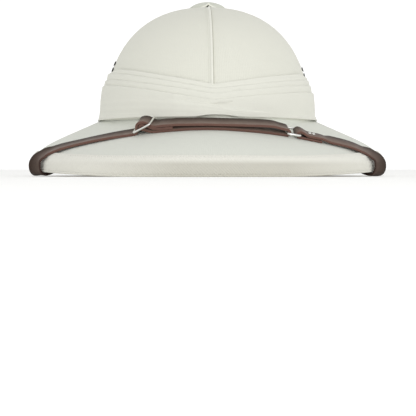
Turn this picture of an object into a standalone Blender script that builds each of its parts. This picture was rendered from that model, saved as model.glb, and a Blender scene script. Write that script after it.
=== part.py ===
"""Pith helmet: moulded pith shell, sewn cloth covers, pleated puggaree and leather chin strap.

Metres, +Z up. The hat stands on its rim on z = 0, its front faces -Y, and X runs across it.
"""
import bpy
import bmesh
from math import asin, atan2, cos, pi, radians, sin, tau
from mathutils import Matrix, Vector

# Driving dimensions of the outer cloth surface, which every layer is measured from
SEGMENTS = 40
BRIM_HALF_WIDTH = 0.1630
BRIM_HALF_LENGTH = 0.1775
BRIM_SQUARENESS = 2.2
CROWN_HALF_WIDTH = 0.0948
CROWN_HALF_LENGTH = 0.1120
CROWN_TOP = 0.1565
CROWN_ROUND_OUT = 2.38
CROWN_ROUND_UP = 2.26
JUNCTION_HEIGHT_FRONT = 0.0475
JUNCTION_HEIGHT_SIDE = 0.0535
RIM_CORNER_HEIGHT = 0.00965
RIM_SIDE_LIFT = 0.0052
RIM_FLAT_SHARE = 0.42
BRIM_STRAIGHT_SHARE = 0.78
BRIM_ROLL_POWER = 8.0
QUARTER_DIP = 0.0020

# Layers
GAP = 0.0003
CLOTH = 0.0010
PITH = 0.0080
BINDING = 0.0014
BINDING_FLAT = 0.0030
BINDING_START = 0.90
RIM_RELIEF = 0.0005
COVER_END = 0.955
VENT_HOLE = 0.0070
VENT_HOLE_DROP = 0.0004
SHOULDER_SHARE = 0.4
BINDING_BEVEL_UP = 0.0012
BINDING_BEVEL_IN = 0.0010
SHELL_OUTSIDE = CLOTH + GAP
SHELL_INSIDE = SHELL_OUTSIDE + PITH

# Stations down the crown, as angles above the junction, and out along the brim, as shares
CROWN_STATIONS = [radians(a) for a in (0.5, 5, 12, 21, 32, 44, 56, 68, 79)]
INNER_CORNER_DROP = 0.0085
BRIM_STATIONS = (0.05, 0.27, 0.50, 0.70, 0.85, COVER_END)
BRIM_INSIDE_STATIONS = (0.90, 0.70, 0.50, 0.27)

# The sewn cover sits turned a little on the crown, with its seams and the puggaree's V
SEAM_TURN = 2.66

# Puggaree: level of each edge at its V, at each side, and its dip below the vents
PUGGAREE_EDGES = (
    # name, at the V, left side, right side, dip below the vents
    ("top", 0.0799, 0.0982, 0.0938, 0.0036),
    ("first", 0.0755, 0.0938, 0.0878, 0.0),
    ("second", 0.0715, 0.0875, 0.0830, 0.0),
    ("third", 0.0660, 0.0826, 0.0765, 0.0),
)
VENT_DIP_START = 0.90
TOP_EDGE_THICKNESS = 0.0012
PLEAT_THICKNESS = (0.0021, 0.0031, 0.0041)
PLEAT_EDGE_SHARE = 0.4
PLEAT_LIP_SHARE = 0.22
FOLD_THICKNESS = 0.0056
FOLD_EDGE_THICKNESS = 0.0046
FOLD_EDGE_DROP = 0.0035
FOLD_HEM_DROP = 0.0012
HEM_SIDE_DROP = 0.0033
HEM_SIDE_FLARE = 0.0020
PUGGAREE_BACKING = 0.0005
PUGGAREE_BOTTOM_SIDE = 0.0552
PUGGAREE_BOTTOM_FRONT = 0.0530
EDGE_GAP = 0.0004

# Ventilator cap, seam pipings and vent eyelets
CAP_RADIUS = 0.0166
CAP_TOP = 0.1623
CAP_RIM_HEIGHT = 0.1574
CAP_UNDERSIDE = 0.1566
STEM_RADIUS = 0.0064
STEM_BOTTOM = 0.1490
CAP_TURNS = (22, 44, 66, 90)
CAP_LIP = 0.0006
PIPING_RADIUS = 0.0009
PIPING_CLEARANCE = 0.0005
PIPING_START = 0.0026
PIPING_END = 0.0010
PIPING_SPANS = 9
PIPING_TOP_RADIUS = 0.0185
EYELET_RADIUS = 0.0027
EYELET_HOLE = 0.0010
EYELET_BARREL = 0.0016
EYELET_CUT = 0.0020
EYELET_FLANGE = 0.0007
EYELET_CROWN = 0.0010
EYELET_CROWN_RADIUS = 0.0019
EYELET_EDGE = 0.0003
EYELET_DEPTH = 0.0040
EYELET_PROUD = 0.0005
EYELET_DRILL = 0.0300
EYELET_PLACES = (
    # name, angle round the crown, height
    ("left_upper", 190.0, 0.1036),
    ("left_lower", 190.0, 0.0980),
    ("right_upper", -5.5, 0.0989),
    ("right_lower", -5.5, 0.0933),
)

# Chin strap: leather section, and its course over the brim as seen from above
STRAP_WIDTH = 0.0140
STRAP = 0.0021
STRAP_COURSE = (
    # across, forward
    (0.000, 0.1235),
    (0.030, 0.1212),
    (0.052, 0.1155),
    (0.075, 0.1088),
    (0.100, 0.1030),
    (0.122, 0.0975),
    (0.141, 0.0901),
)
LAY_LOW = 0.0014
LAY_MIDDLE = LAY_LOW + STRAP + GAP
LAY_TOP = LAY_MIDDLE + STRAP + GAP
STRAP_STEP = 0.0055
FLAT_STEP = 0.006
OUTER_STEP = 0.008
PLAN_STEP = 0.002
RISE_LENGTH = 0.0350
RISE_LIFT = 0.0022
BRIDGE_LIFT = 0.0008

# Metal fittings on the strap, placed by their distance along it from the front centre
SLIDE_PLACE = -0.0542
SLIDE_PITCH = 0.0080
SLIDE_WIRE = 0.0009
SLIDE_HALF_WIDTH = 0.0092
SLIDE_LIFT_LEFT = 0.0038
SLIDE_LIFT_RIGHT = 0.0098
SLIDE_ENTRY = (
    # from the middle bar, above the middle layer
    (0.0100, 0.0006),
    (0.0055, 0.0028),
)
SLIDE_EXIT = (0.0050, 0.0010)
HUMP_RISE = (
    # from the middle bar, above the top layer
    (0.0115, 0.0001),
    (0.0080, 0.0010),
)
HUMP = (
    # from the middle bar, below the top of the hump
    (0.0045, 0.0011),
    (0.0000, 0.0000),
    (-0.0036, 0.0013),
    (-0.0051, 0.0044),
)
HUMP_FOOT = (-0.0056, -0.0018)
RING_PLACE = 0.0742
RING_PITCH = 0.0060
RING_WIRE = 0.0011
RING_HALF_WIDTH = 0.0090
RING_LIFT = 0.0038
RING_STRAIGHT = 0.0060
RIGHT_FOLD = (
    # from the ring's bar, lift
    (0.0030, LAY_TOP - 0.0006),
    (0.0055, LAY_MIDDLE + 0.0008),
)
WIRE_BEND = 0.0018
MIDDLE_TAIL_END = -0.0286
RIGHT_TAIL_END = 0.1008
RIVET_PLACES = (0.0897, 0.0931)
RIVET_HEAD = 0.0015
RIVET_DOME = 0.0010
RIVET_EDGE = 0.0003
RIVET_SHANK = 0.0007
RIVET_FOOT = 0.0006
RIVET_HOLE = 0.0011
RIVET_DRILL = 0.0100

# Wrap round the rim: where it lies, and how far its near edge turns outward and down
WRAP = (
    # outward, height, backward, near edge outward, near edge down
    (-0.0018, 0.0210, 0.0005, 0.05, 0.30),
    (0.0033, 0.0158, 0.0052, -0.05, 0.13),
    (0.0048, 0.0110, 0.0067, -0.18, 0.08),
    (0.0038, 0.0056, 0.0075, -0.20, 0.06),
    (-0.0008, 0.0019, 0.0090, -0.20, 0.00),
)
UNDER_SHARES = (0.12, 0.24, 0.36, 0.50, 0.65, 0.82)
UNDER_CLEARANCE = 0.0037
UNDER_LOWEST = 0.0018
UNDER_LEVEL_SHARE = 0.45
ANCHOR_ANGLE = 188.0
ANCHOR_STATIONS = (
    # height, extra distance off the wall
    (0.0440, 0.0018),
    (0.0500, 0.0011),
    (0.0560, 0.0010),
    (0.0650, 0.0010),
)
ANCHOR_PIN = 0.0018
ANCHOR_HEAD = 0.0040
ANCHOR_DOME = 0.0012
ANCHOR_DEPTH = 0.0045
ANCHOR_HOLE = 0.0022
ANCHOR_DRILL_OUT = 0.0040
ANCHOR_DRILL_DEEPER = 0.0004

# Materials: colour, roughness, metallic
MATERIALS = {
    "cloth": ((0.74, 0.74, 0.68), 0.90, 0.0),
    "pith": ((0.62, 0.56, 0.44), 0.95, 0.0),
    "leather": ((0.10, 0.06, 0.05), 0.45, 0.0),
    "steel": ((0.70, 0.70, 0.70), 0.25, 1.0),
    "dark_metal": ((0.20, 0.20, 0.19), 0.50, 1.0),
}


def clear_scene():
    for obj in list(bpy.data.objects):
        bpy.data.objects.remove(obj, do_unlink=True)


def new_collection(name):
    collection = bpy.data.collections.new(name)
    bpy.context.scene.collection.children.link(collection)
    return collection


def new_material(name):
    colour, roughness, metallic = MATERIALS[name]
    material = bpy.data.materials.new(name)
    material.use_nodes = True
    shader = material.node_tree.nodes["Principled BSDF"]
    shader.inputs["Base Color"].default_value = (*colour, 1.0)
    shader.inputs["Roughness"].default_value = roughness
    shader.inputs["Metallic"].default_value = metallic
    return material


# Outer cloth surface of the hat

def power(value, exponent):
    return abs(value) ** exponent * (1 if value >= 0 else -1)


def oval(angle, half_width, half_length, squareness):
    return (half_width * power(cos(angle), 2 / squareness),
            half_length * power(sin(angle), 2 / squareness))


def junction_height(angle):
    side = cos(angle) ** 6
    return JUNCTION_HEIGHT_FRONT + (JUNCTION_HEIGHT_SIDE - JUNCTION_HEIGHT_FRONT) * side


def rim_lift(angle):
    share = abs(power(cos(angle), 2 / BRIM_SQUARENESS))
    rise = max(0.0, (share - RIM_FLAT_SHARE) / (1 - RIM_FLAT_SHARE))
    return RIM_SIDE_LIFT * rise ** 1.5


def crown(angle, climb):
    """Point of the crown's outer surface, climb running from 0 at the brim to a right angle."""
    spread = cos(climb) ** (2 / CROWN_ROUND_OUT)
    rise = sin(climb) ** (2 / CROWN_ROUND_UP)
    base = junction_height(angle)
    x, y = oval(angle, CROWN_HALF_WIDTH * spread, CROWN_HALF_LENGTH * spread, 2.0)
    return Vector((x, y, base + (CROWN_TOP - base) * rise))


def brim(angle, reach):
    """Point of the brim's upper surface, reach running from 0 at the crown to 1 at the rim."""
    half_width = CROWN_HALF_WIDTH + (BRIM_HALF_WIDTH - CROWN_HALF_WIDTH) * reach
    half_length = CROWN_HALF_LENGTH + (BRIM_HALF_LENGTH - CROWN_HALF_LENGTH) * reach
    x, y = oval(angle, half_width, half_length, 2.0 + (BRIM_SQUARENESS - 2.0) * reach)
    base = junction_height(angle)
    corner = RIM_CORNER_HEIGHT + rim_lift(angle)
    roll = max(reach, 0.0) ** BRIM_ROLL_POWER
    fall = BRIM_STRAIGHT_SHARE * reach + (1 - BRIM_STRAIGHT_SHARE) * roll
    dip = QUARTER_DIP * sin(2 * angle) ** 2 * 4 * reach * (1 - reach)
    return Vector((x, y, base - (base - corner) * fall - dip))


def outward(surface, angle, place):
    """Unit normal of a surface, pointing away from the pith."""
    step = 1e-4
    round_it = surface(angle + step, place) - surface(angle - step, place)
    along_it = surface(angle, place + step) - surface(angle, place - step)
    normal = round_it.cross(along_it) if surface is crown else along_it.cross(round_it)
    return normal.normalized()


def layer(surface, angle, place, distance):
    return surface(angle, place) + outward(surface, angle, place) * distance


def climb_at(angle, height):
    """Climb at which the crown's surface has this height, kept just above the junction."""
    base = junction_height(angle)
    rise = min(1.0, max(0.0, (height - base) / (CROWN_TOP - base)))
    return max(1e-3, asin(rise ** (CROWN_ROUND_UP / 2)))


def crown_at_height(angle, height, distance):
    """Point at a distance off the crown's surface, level with a height on it."""
    return layer(crown, angle, climb_at(angle, height), distance)


def rim_oval(angle, inset):
    return oval(angle, BRIM_HALF_WIDTH - inset, BRIM_HALF_LENGTH - inset, BRIM_SQUARENESS)


# Mesh helpers

def finish_mesh(name, mesh, material, collection):
    obj = bpy.data.objects.new(name, mesh)
    mesh.materials.append(material)
    collection.objects.link(obj)
    return obj


def loft(name, rings, material, collection, closed_path=False, capped=False):
    """Bridge a row of closed rings of points with faces."""
    mesh = bmesh.new()
    rows = [[mesh.verts.new(point) for point in ring] for ring in rings]
    count = len(rows[0])
    for row in range(len(rows) if closed_path else len(rows) - 1):
        near, far = rows[row], rows[(row + 1) % len(rows)]
        for column in range(count):
            after = (column + 1) % count
            mesh.faces.new((near[column], near[after], far[after], far[column]))
    if capped:
        mesh.faces.new(rows[0][::-1])
        mesh.faces.new(rows[-1])
    bmesh.ops.recalc_face_normals(mesh, faces=mesh.faces)
    data = bpy.data.meshes.new(name)
    mesh.to_mesh(data)
    mesh.free()
    return finish_mesh(name, data, material, collection)


def hoop(name, section, material, collection):
    """A closed section carried once round the hat; section(angle) lists its points."""
    rings = [section(tau * step / SEGMENTS) for step in range(SEGMENTS)]
    return loft(name, rings, material, collection, closed_path=True)


def curve_point(p0, p1, p2, p3, share):
    """Point between p1 and p2 of the centripetal Catmull-Rom curve through four points."""
    a = (p1 - p0).length ** 0.5
    b = (p2 - p1).length ** 0.5
    c = (p3 - p2).length ** 0.5
    t = a + b * share
    first = p0.lerp(p1, t / a)
    second = p1.lerp(p2, share)
    third = p2.lerp(p3, (t - a - b) / c)
    early = first.lerp(second, t / (a + b))
    late = second.lerp(third, (t - a) / (b + c))
    return early.lerp(late, share)


def smooth_stations(stations, step):
    """Read a smooth strap at an even step from a few stations, each a centre and a side."""
    centres = [station[0] for station in stations]
    sides = [station[1] for station in stations]
    ends = [centres[0] * 2 - centres[1]] + centres + [centres[-1] * 2 - centres[-2]]
    row = []
    for index in range(len(centres) - 1):
        window = ends[index:index + 4]
        count = max(1, round((window[2] - window[1]).length / step))
        for part in range(count):
            share = part / count
            side = sides[index].lerp(sides[index + 1], share)
            row.append((curve_point(*window, share), side))
    row.append(stations[-1])
    return row


def smooth_row(points, step):
    """Points read at an even step from a smooth curve through the given ones."""
    return [centre for centre, _ in smooth_stations([(point, point) for point in points], step)]


def add_boolean(obj, cutter):
    cut = obj.modifiers.new("cut " + cutter.name, "BOOLEAN")
    cut.operation = "DIFFERENCE"
    cut.solver = "EXACT"
    cut.object = cutter


def make_cutter(name, centre, axis, radius, length, collection, sides=10):
    """A hidden drill that a boolean modifier cuts with."""
    mesh = bmesh.new()
    bmesh.ops.create_cone(mesh, cap_ends=True, segments=sides, radius1=radius, radius2=radius,
                          depth=length)
    data = bpy.data.meshes.new(name)
    mesh.to_mesh(data)
    mesh.free()
    cutter = bpy.data.objects.new(name, data)
    stand_on(cutter, centre, axis)
    cutter.hide_render = True
    cutter.display_type = "WIRE"
    collection.objects.link(cutter)
    return cutter


def turned(name, profile, steps, material, collection):
    """A turned piece: a profile of (radius, height) with a Screw modifier."""
    data = bpy.data.meshes.new(name)
    data.from_pydata([(radius, 0.0, height) for radius, height in profile],
                     [(index, index + 1) for index in range(len(profile) - 1)], [])
    obj = finish_mesh(name, data, material, collection)
    screw = obj.modifiers.new("turn", "SCREW")
    screw.steps = steps
    screw.render_steps = steps
    screw.use_merge_vertices = True
    screw.merge_threshold = 0.00001
    return obj


def stand_on(obj, point, axis):
    """Put an object's origin on a point, with its own Z along an axis."""
    obj.matrix_world = (Matrix.Translation(point)
                        @ axis.to_track_quat("Z", "Y").to_matrix().to_4x4())


# The moulded body and its cloth covers

def shell_section(angle):
    """Half section of the shell, from the top vent out to the rim and back inside."""
    points = [layer(crown, angle, climb, -SHELL_OUTSIDE) for climb in reversed(CROWN_STATIONS)]
    points.insert(0, hole_edge(angle, -SHELL_OUTSIDE))
    points += [layer(brim, angle, reach, -SHELL_OUTSIDE) for reach in BRIM_STATIONS]
    x, y = rim_oval(angle, BINDING + GAP)
    points.append(Vector((x, y, RIM_CORNER_HEIGHT + rim_lift(angle) - SHELL_OUTSIDE * SHOULDER_SHARE)))
    points.append(Vector((x, y, rim_lift(angle) + BINDING + GAP + RIM_RELIEF)))
    points += [layer(brim, angle, reach, -SHELL_INSIDE) for reach in BRIM_INSIDE_STATIONS]
    points.append(inner_corner(angle))
    points += [layer(crown, angle, climb, -SHELL_INSIDE) for climb in CROWN_STATIONS[1:]]
    points.append(hole_edge(angle, -SHELL_INSIDE))
    return points


def hole_edge(angle, distance):
    x, y = oval(angle, VENT_HOLE, VENT_HOLE * CROWN_HALF_LENGTH / CROWN_HALF_WIDTH, 2.0)
    return Vector((x, y, CROWN_TOP - VENT_HOLE_DROP + distance))


def inner_corner(angle):
    """Where the inside wall of the crown turns into the underside of the brim."""
    wall = layer(crown, angle, CROWN_STATIONS[0], -SHELL_INSIDE)
    wall.z -= INNER_CORNER_DROP
    return wall


def make_shell(material, parts):
    return hoop("shell", shell_section, material, parts)


def make_cover(name, surface, stations, material, parts):
    rings = [[surface(tau * step / SEGMENTS, place) for step in range(SEGMENTS)]
             for place in stations]
    if surface is crown:
        rings.append([hole_edge(tau * step / SEGMENTS, 0.0) for step in range(SEGMENTS)])
    cover = loft(name, rings, material, parts)
    thickness = cover.modifiers.new("cloth", "SOLIDIFY")
    thickness.thickness = CLOTH
    thickness.offset = -1.0
    return cover


def binding_section(angle):
    """Section of the binding, folded over the rim, with the flat edge that the hat stands on."""
    lift = rim_lift(angle)
    corner = RIM_CORNER_HEIGHT + lift
    over = GAP + BINDING
    under = SHELL_INSIDE + GAP
    start = BINDING_START
    rim = [(0.0, corner), (0.0, lift + BINDING_BEVEL_UP), (BINDING_BEVEL_IN, lift),
           (BINDING_BEVEL_IN + BINDING_FLAT, lift)]
    outer = [layer(brim, angle, start, over), layer(brim, angle, COVER_END, over)]
    outer += [Vector((*rim_oval(angle, inset), height)) for inset, height in rim]
    outer.append(layer(brim, angle, start, -(under + BINDING)))
    inner = [layer(brim, angle, start, -under),
             Vector((*rim_oval(angle, BINDING), lift + BINDING)),
             Vector((*rim_oval(angle, BINDING), corner)),
             layer(brim, angle, COVER_END, GAP), layer(brim, angle, start, GAP)]
    return outer + inner


def make_binding(material, parts):
    return hoop("brim_binding", binding_section, material, parts)


# The puggaree

def edge_height(edge, angle):
    """Height of one edge of the puggaree: a V at the front seam, and an even run behind."""
    _, front, left, right, vent_dip = edge
    across = cos(angle - radians(SEAM_TURN))
    side = left if across < 0 else right
    height = (left + right) / 2 + (right - left) / 2 * across
    if sin(angle - radians(SEAM_TURN)) < 0:
        height = front + (side - front) * abs(across)
    return height - vent_dip * max(0.0, (abs(across) - VENT_DIP_START) / (1 - VENT_DIP_START))


def band_section(angle, low, high, thickness_above, thickness):
    """Section of one pleat, thin at its upper edge and thickest at its lower one."""
    span = high - low
    crest = thickness_above + (thickness - thickness_above) * PLEAT_EDGE_SHARE
    rows = ((low, PUGGAREE_BACKING), (high, PUGGAREE_BACKING), (high, crest),
            (high - span * PLEAT_LIP_SHARE, thickness), (low, thickness))
    return [crown_at_height(angle, height, distance) for height, distance in rows]


def make_puggaree(material, parts):
    above = TOP_EDGE_THICKNESS
    for index, thickness in enumerate(PLEAT_THICKNESS):
        def section(angle, index=index, above=above, thickness=thickness):
            high = edge_height(PUGGAREE_EDGES[index], angle)
            low = edge_height(PUGGAREE_EDGES[index + 1], angle) + EDGE_GAP
            return band_section(angle, low, high, above, thickness)
        hoop("puggaree_pleat_%d" % (index + 1), section, material, parts)
        above = thickness
    hoop("puggaree_fold", fold_section, material, parts)


def fold_bottom(angle):
    side = cos(angle) ** 4
    return PUGGAREE_BOTTOM_FRONT + (PUGGAREE_BOTTOM_SIDE - PUGGAREE_BOTTOM_FRONT) * side


def fold_section(angle):
    """The wide lower fold, whose lower edge stands clear of the brim."""
    high = edge_height(PUGGAREE_EDGES[-1], angle)
    low = fold_bottom(angle)
    middle = (high + low) / 2
    rows = ((low, PUGGAREE_BACKING), (middle, PUGGAREE_BACKING), (high, PUGGAREE_BACKING),
            (high, FOLD_EDGE_THICKNESS), (high - FOLD_EDGE_DROP, FOLD_THICKNESS),
            (middle, FOLD_THICKNESS))
    points = [crown_at_height(angle, height, distance) for height, distance in rows]
    side = cos(angle) ** 4
    hem = crown_at_height(angle, low, FOLD_THICKNESS + HEM_SIDE_FLARE * side)
    hem.z -= FOLD_HEM_DROP + HEM_SIDE_DROP * side
    return points + [hem]


# Ventilator cap, pipings and eyelets

def make_cap(material, parts):
    rise = CAP_TOP - CAP_RIM_HEIGHT
    dome = [(0.0, CAP_TOP)] + [(CAP_RADIUS * sin(radians(turn)),
                                CAP_RIM_HEIGHT + rise * cos(radians(turn))) for turn in CAP_TURNS]
    below = [(CAP_RADIUS - CAP_LIP, CAP_UNDERSIDE), (STEM_RADIUS, CAP_UNDERSIDE),
             (STEM_RADIUS, STEM_BOTTOM), (0.0, STEM_BOTTOM)]
    return turned("ventilator_cap", dome + below, 24, material, parts)


def make_piping(name, angle, low, material, parts):
    high = CROWN_TOP - PIPING_END
    heights = [low + (high - low) * sin(pi / 2 * step / PIPING_SPANS)
               for step in range(PIPING_SPANS + 1)]
    off_cover = PIPING_RADIUS + PIPING_CLEARANCE
    points = [crown_at_height(angle, height, off_cover) for height in heights]
    points = [point for point in points if abs(point.y) > PIPING_TOP_RADIUS]
    curve = bpy.data.curves.new(name, "CURVE")
    curve.dimensions = "3D"
    curve.bevel_depth = PIPING_RADIUS
    curve.bevel_resolution = 1
    curve.use_fill_caps = True
    spline = curve.splines.new("POLY")
    spline.points.add(len(points) - 1)
    for slot, point in zip(spline.points, points):
        slot.co = (*point, 1.0)
    return finish_mesh(name, curve, material, parts)


def make_eyelet(name, angle, height, material, parts):
    profile = [(EYELET_HOLE, EYELET_FLANGE), (EYELET_CROWN_RADIUS, EYELET_CROWN),
               (EYELET_RADIUS, EYELET_EDGE), (EYELET_RADIUS, 0.0), (EYELET_BARREL, 0.0),
               (EYELET_BARREL, -EYELET_DEPTH), (EYELET_HOLE, -EYELET_DEPTH)]
    eyelet = turned("vent_eyelet_" + name, profile, 10, material, parts)
    close_profile(eyelet)
    climb = climb_at(angle, height)
    axis = outward(crown, angle, climb)
    stand_on(eyelet, layer(crown, angle, climb, EYELET_PROUD), axis)
    return eyelet, axis


def close_profile(obj):
    """Join the last profile point to the first, for a ring with a hole through it."""
    mesh = bmesh.new()
    mesh.from_mesh(obj.data)
    mesh.verts.ensure_lookup_table()
    mesh.edges.new((mesh.verts[-1], mesh.verts[0]))
    mesh.to_mesh(obj.data)
    mesh.free()


# Course of the chin strap over the brim

def reach_at(x, y):
    """Reach and angle of the brim surface below a point in plan."""
    low, high = 0.0, 1.2
    for _ in range(40):
        reach = (low + high) / 2
        half_width = CROWN_HALF_WIDTH + (BRIM_HALF_WIDTH - CROWN_HALF_WIDTH) * reach
        half_length = CROWN_HALF_LENGTH + (BRIM_HALF_LENGTH - CROWN_HALF_LENGTH) * reach
        squareness = 2.0 + (BRIM_SQUARENESS - 2.0) * reach
        outside = abs(x / half_width) ** squareness + abs(y / half_length) ** squareness > 1
        low, high = (reach, high) if outside else (low, reach)
    angle = atan2(power(y / half_length, squareness / 2), power(x / half_width, squareness / 2))
    return angle, reach


def strap_plan():
    """Plan course of the strap from the left end to the right one, with its running length."""
    half = [Vector((across, -forward, 0.0)) for across, forward in STRAP_COURSE]
    whole = [Vector((-point.x, point.y, 0.0)) for point in reversed(half[1:])] + half
    row = smooth_row(whole, PLAN_STEP)
    lengths = [0.0]
    for before, after in zip(row, row[1:]):
        lengths.append(lengths[-1] + (after - before).length)
    middle = lengths[-1] / 2
    return [(length - middle, point) for length, point in zip(lengths, row)]


PLAN = strap_plan()
PLAN_END = PLAN[-1][0]


def plan_point(place):
    for (before, a), (after, b) in zip(PLAN, PLAN[1:]):
        if place <= after:
            return a.lerp(b, (place - before) / (after - before))
    return PLAN[-1][1].copy()


def strap_frame(place):
    """Point on the brim below the strap, the way along it, the way to its near edge, and up."""
    point = plan_point(place)
    angle, reach = reach_at(point.x, point.y)
    ground = brim(angle, reach)
    ahead, behind = plan_point(place + PLAN_STEP), plan_point(place - PLAN_STEP)
    along = (ground_point(ahead) - ground_point(behind)).normalized()
    up = outward(brim, angle, reach)
    up = (up - along * up.dot(along)).normalized()
    return ground, along, along.cross(up), up


def ground_point(point):
    return brim(*reach_at(point.x, point.y))


def lay(place, lift):
    ground, _, _, up = strap_frame(place)
    return ground + up * lift


def near_side(place):
    return strap_frame(place)[2]


def ribbon(name, stations, material, parts):
    """A leather strap: stations are (centre, near side); its section is a flat rectangle."""
    centres = [station[0] for station in stations]
    rings = []
    for index, (centre, side) in enumerate(stations):
        before = centres[max(0, index - 1)]
        after = centres[min(len(centres) - 1, index + 1)]
        along = (after - before).normalized()
        side = (side - along * side.dot(along)).normalized()
        face = along.cross(side)
        rings.append([centre + side * STRAP_WIDTH / 2 * a + face * STRAP / 2 * b
                      for a, b in ((1, 1), (-1, 1), (-1, -1), (1, -1))])
    return loft(name, rings, material, parts, capped=True)


def rim_run(hand):
    """Stations from the rim crossing round the rim and under the brim to the anchor."""
    crossing = PLAN[-1][1]
    angle, _ = reach_at(crossing.x, crossing.y)
    x, y = rim_oval(angle, 0.0)
    out = outward(brim, angle, 0.5)
    out = Vector((out.x, out.y, 0.0)).normalized()
    back = Vector((-out.y, out.x, 0.0))
    stations = []
    for outside, height, backward, near_out, near_down in WRAP:
        centre = Vector((x, y, 0.0)) + out * outside + back * backward
        centre.z = height
        stations.append((centre, out * near_out - Vector((0.0, 0.0, near_down)) - back))
    pin_angle = radians(180.0 - ANCHOR_ANGLE)
    tangent = Vector((sin(pin_angle), -cos(pin_angle), 0.0))
    wall = [anchor_point(pin_angle, *row) for row in ANCHOR_STATIONS]
    stations += under_run(stations[-1][0], wall[0])
    stations += [(centre, tangent) for centre in wall]
    if hand < 0:
        flip = Vector((-1.0, 1.0, 1.0))
        stations = [(centre * flip, side * flip) for centre, side in stations]
    return stations


def under_run(start, end):
    """Stations below the brim, from the rim to the inside wall, close under the binding."""
    along = (end - start).normalized()
    thickness = SHELL_INSIDE + GAP + BINDING + UNDER_CLEARANCE
    stations = []
    for share in UNDER_SHARES:
        centre = start.lerp(end, share)
        angle, reach = reach_at(centre.x, centre.y)
        up = outward(brim, angle, reach)
        roof = brim(angle, reach).z - thickness / up.z - STRAP / 2
        centre.z = max(UNDER_LOWEST, min(centre.z, roof))
        level = Vector((0.0, 0.0, 1.0)).lerp(up, min(1.0, share / UNDER_LEVEL_SHARE))
        stations.append((centre, level.cross(along)))
    return stations


def anchor_point(angle, height, off_wall):
    """Centre of the strap's leather against the inside wall of the crown."""
    wall = crown_at_height(angle, height, -(SHELL_INSIDE + GAP + STRAP / 2 + off_wall))
    wall.z = height
    return wall


def arc(place, lift, radius, first, last, count):
    """Points of a turn round a bar that lies across the strap, in strap places and lifts."""
    turns = [radians(first + (last - first) * step / count) for step in range(count + 1)]
    return [(place + radius * cos(turn), lift + radius * sin(turn)) for turn in turns]


def spread(first, last, lift, step=FLAT_STEP):
    """Evenly spaced places along a flat stretch, all at one lift."""
    count = max(1, round(abs(last - first) / step))
    return [(first + (last - first) * part / count, lift) for part in range(count + 1)]


def left_course():
    """Places and lifts of the left strap: tail, slide, low run, ring, top run and slide again."""
    turn_slide = SLIDE_WIRE + GAP + STRAP / 2
    turn_ring = RING_WIRE + GAP + STRAP / 2
    bar_lift = (SLIDE_LIFT_LEFT + SLIDE_LIFT_RIGHT) / 2
    bar = SLIDE_PLACE
    ring_bar = RING_PLACE - RING_PITCH
    course = spread(MIDDLE_TAIL_END, bar + 0.0150, LAY_MIDDLE)
    course += [(bar + off, LAY_MIDDLE + lift) for off, lift in SLIDE_ENTRY]
    course += arc(bar, bar_lift, turn_slide, 75, 285, 7)
    course += [(bar + SLIDE_EXIT[0], LAY_LOW + SLIDE_EXIT[1])]
    course += spread(bar + 0.0110, ring_bar - RING_STRAIGHT, LAY_LOW)
    course += arc(ring_bar, RING_LIFT, turn_ring, -90, 90, 6)
    course += spread(ring_bar - RING_STRAIGHT, bar + 0.0160, LAY_TOP)
    hump = bar_lift + turn_slide + STRAP + GAP
    course += [(bar + off, LAY_TOP + lift) for off, lift in HUMP_RISE]
    course += [(bar + off, hump - drop) for off, drop in HUMP]
    course += [(bar + HUMP_FOOT[0], bar_lift + HUMP_FOOT[1])]
    course += arc(bar - SLIDE_PITCH, SLIDE_LIFT_LEFT, turn_slide, -35, -90, 2)
    return course


def right_course():
    """Places and lifts of the right strap: tail, ring, and the riveted double stretch."""
    turn_ring = RING_WIRE + GAP + STRAP / 2
    ring_bar = RING_PLACE + RING_PITCH
    course = spread(RIGHT_TAIL_END, ring_bar + 0.0050, LAY_LOW)
    course += arc(ring_bar, RING_LIFT, turn_ring, 270, 90, 6)
    course += [(ring_bar + off, lift) for off, lift in RIGHT_FOLD]
    course += spread(ring_bar + 0.0078, RIGHT_TAIL_END, LAY_MIDDLE)
    course += [(RIGHT_TAIL_END + 0.0035, LAY_MIDDLE - 0.0006)]
    return course


def outer_course(first, last):
    """Places and lifts of the single strap: off the brim halfway out, rising over the binding."""
    rows = []
    for place, _ in spread(first, last, 0.0, OUTER_STEP):
        share = max(0.0, (abs(place) - PLAN_END + RISE_LENGTH) / RISE_LENGTH)
        bridge = sin(pi * (place - first) / (last - first))
        rows.append((place, LAY_LOW + BRIDGE_LIFT * bridge + RISE_LIFT * share ** 1.5))
    return rows


def strap_stations(course):
    return [(lay(place, lift), near_side(place)) for place, lift in course]


def make_straps(leather, parts):
    end = PLAN_END - FLAT_STEP
    left = strap_stations(left_course() + outer_course(SLIDE_PLACE - 0.0130, -end)) + rim_run(-1)
    right = strap_stations(right_course() + outer_course(RIGHT_TAIL_END + 0.0080, end))
    right += rim_run(1)
    return (ribbon("chin_strap_left", smooth_stations(left, STRAP_STEP), leather, parts),
            ribbon("chin_strap_right", smooth_stations(right, STRAP_STEP), leather, parts))


# Metal fittings

def wire_loop(name, corners, radius, material, parts):
    """A closed wire frame through corner points, each corner turned with a short bend."""
    curve = bpy.data.curves.new(name, "CURVE")
    curve.dimensions = "3D"
    curve.bevel_depth = radius
    curve.bevel_resolution = 1
    points = []
    count = len(corners)
    for index, corner in enumerate(corners):
        before = (corners[index - 1] - corner).normalized()
        after = (corners[(index + 1) % count] - corner).normalized()
        points += [corner + before * WIRE_BEND, corner + (before + after) * WIRE_BEND * 0.3,
                   corner + after * WIRE_BEND]
    spline = curve.splines.new("POLY")
    spline.points.add(len(points) - 1)
    for slot, point in zip(spline.points, points):
        slot.co = (*point, 1.0)
    spline.use_cyclic_u = True
    return finish_mesh(name, curve, material, parts)


def frame_corners(first, last, first_lift, last_lift, half_width):
    corners = []
    for place, lift, hand in ((first, first_lift, 1), (last, last_lift, 1),
                              (last, last_lift, -1), (first, first_lift, -1)):
        corners.append(lay(place, lift) + near_side(place) * half_width * hand)
    return corners


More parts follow.
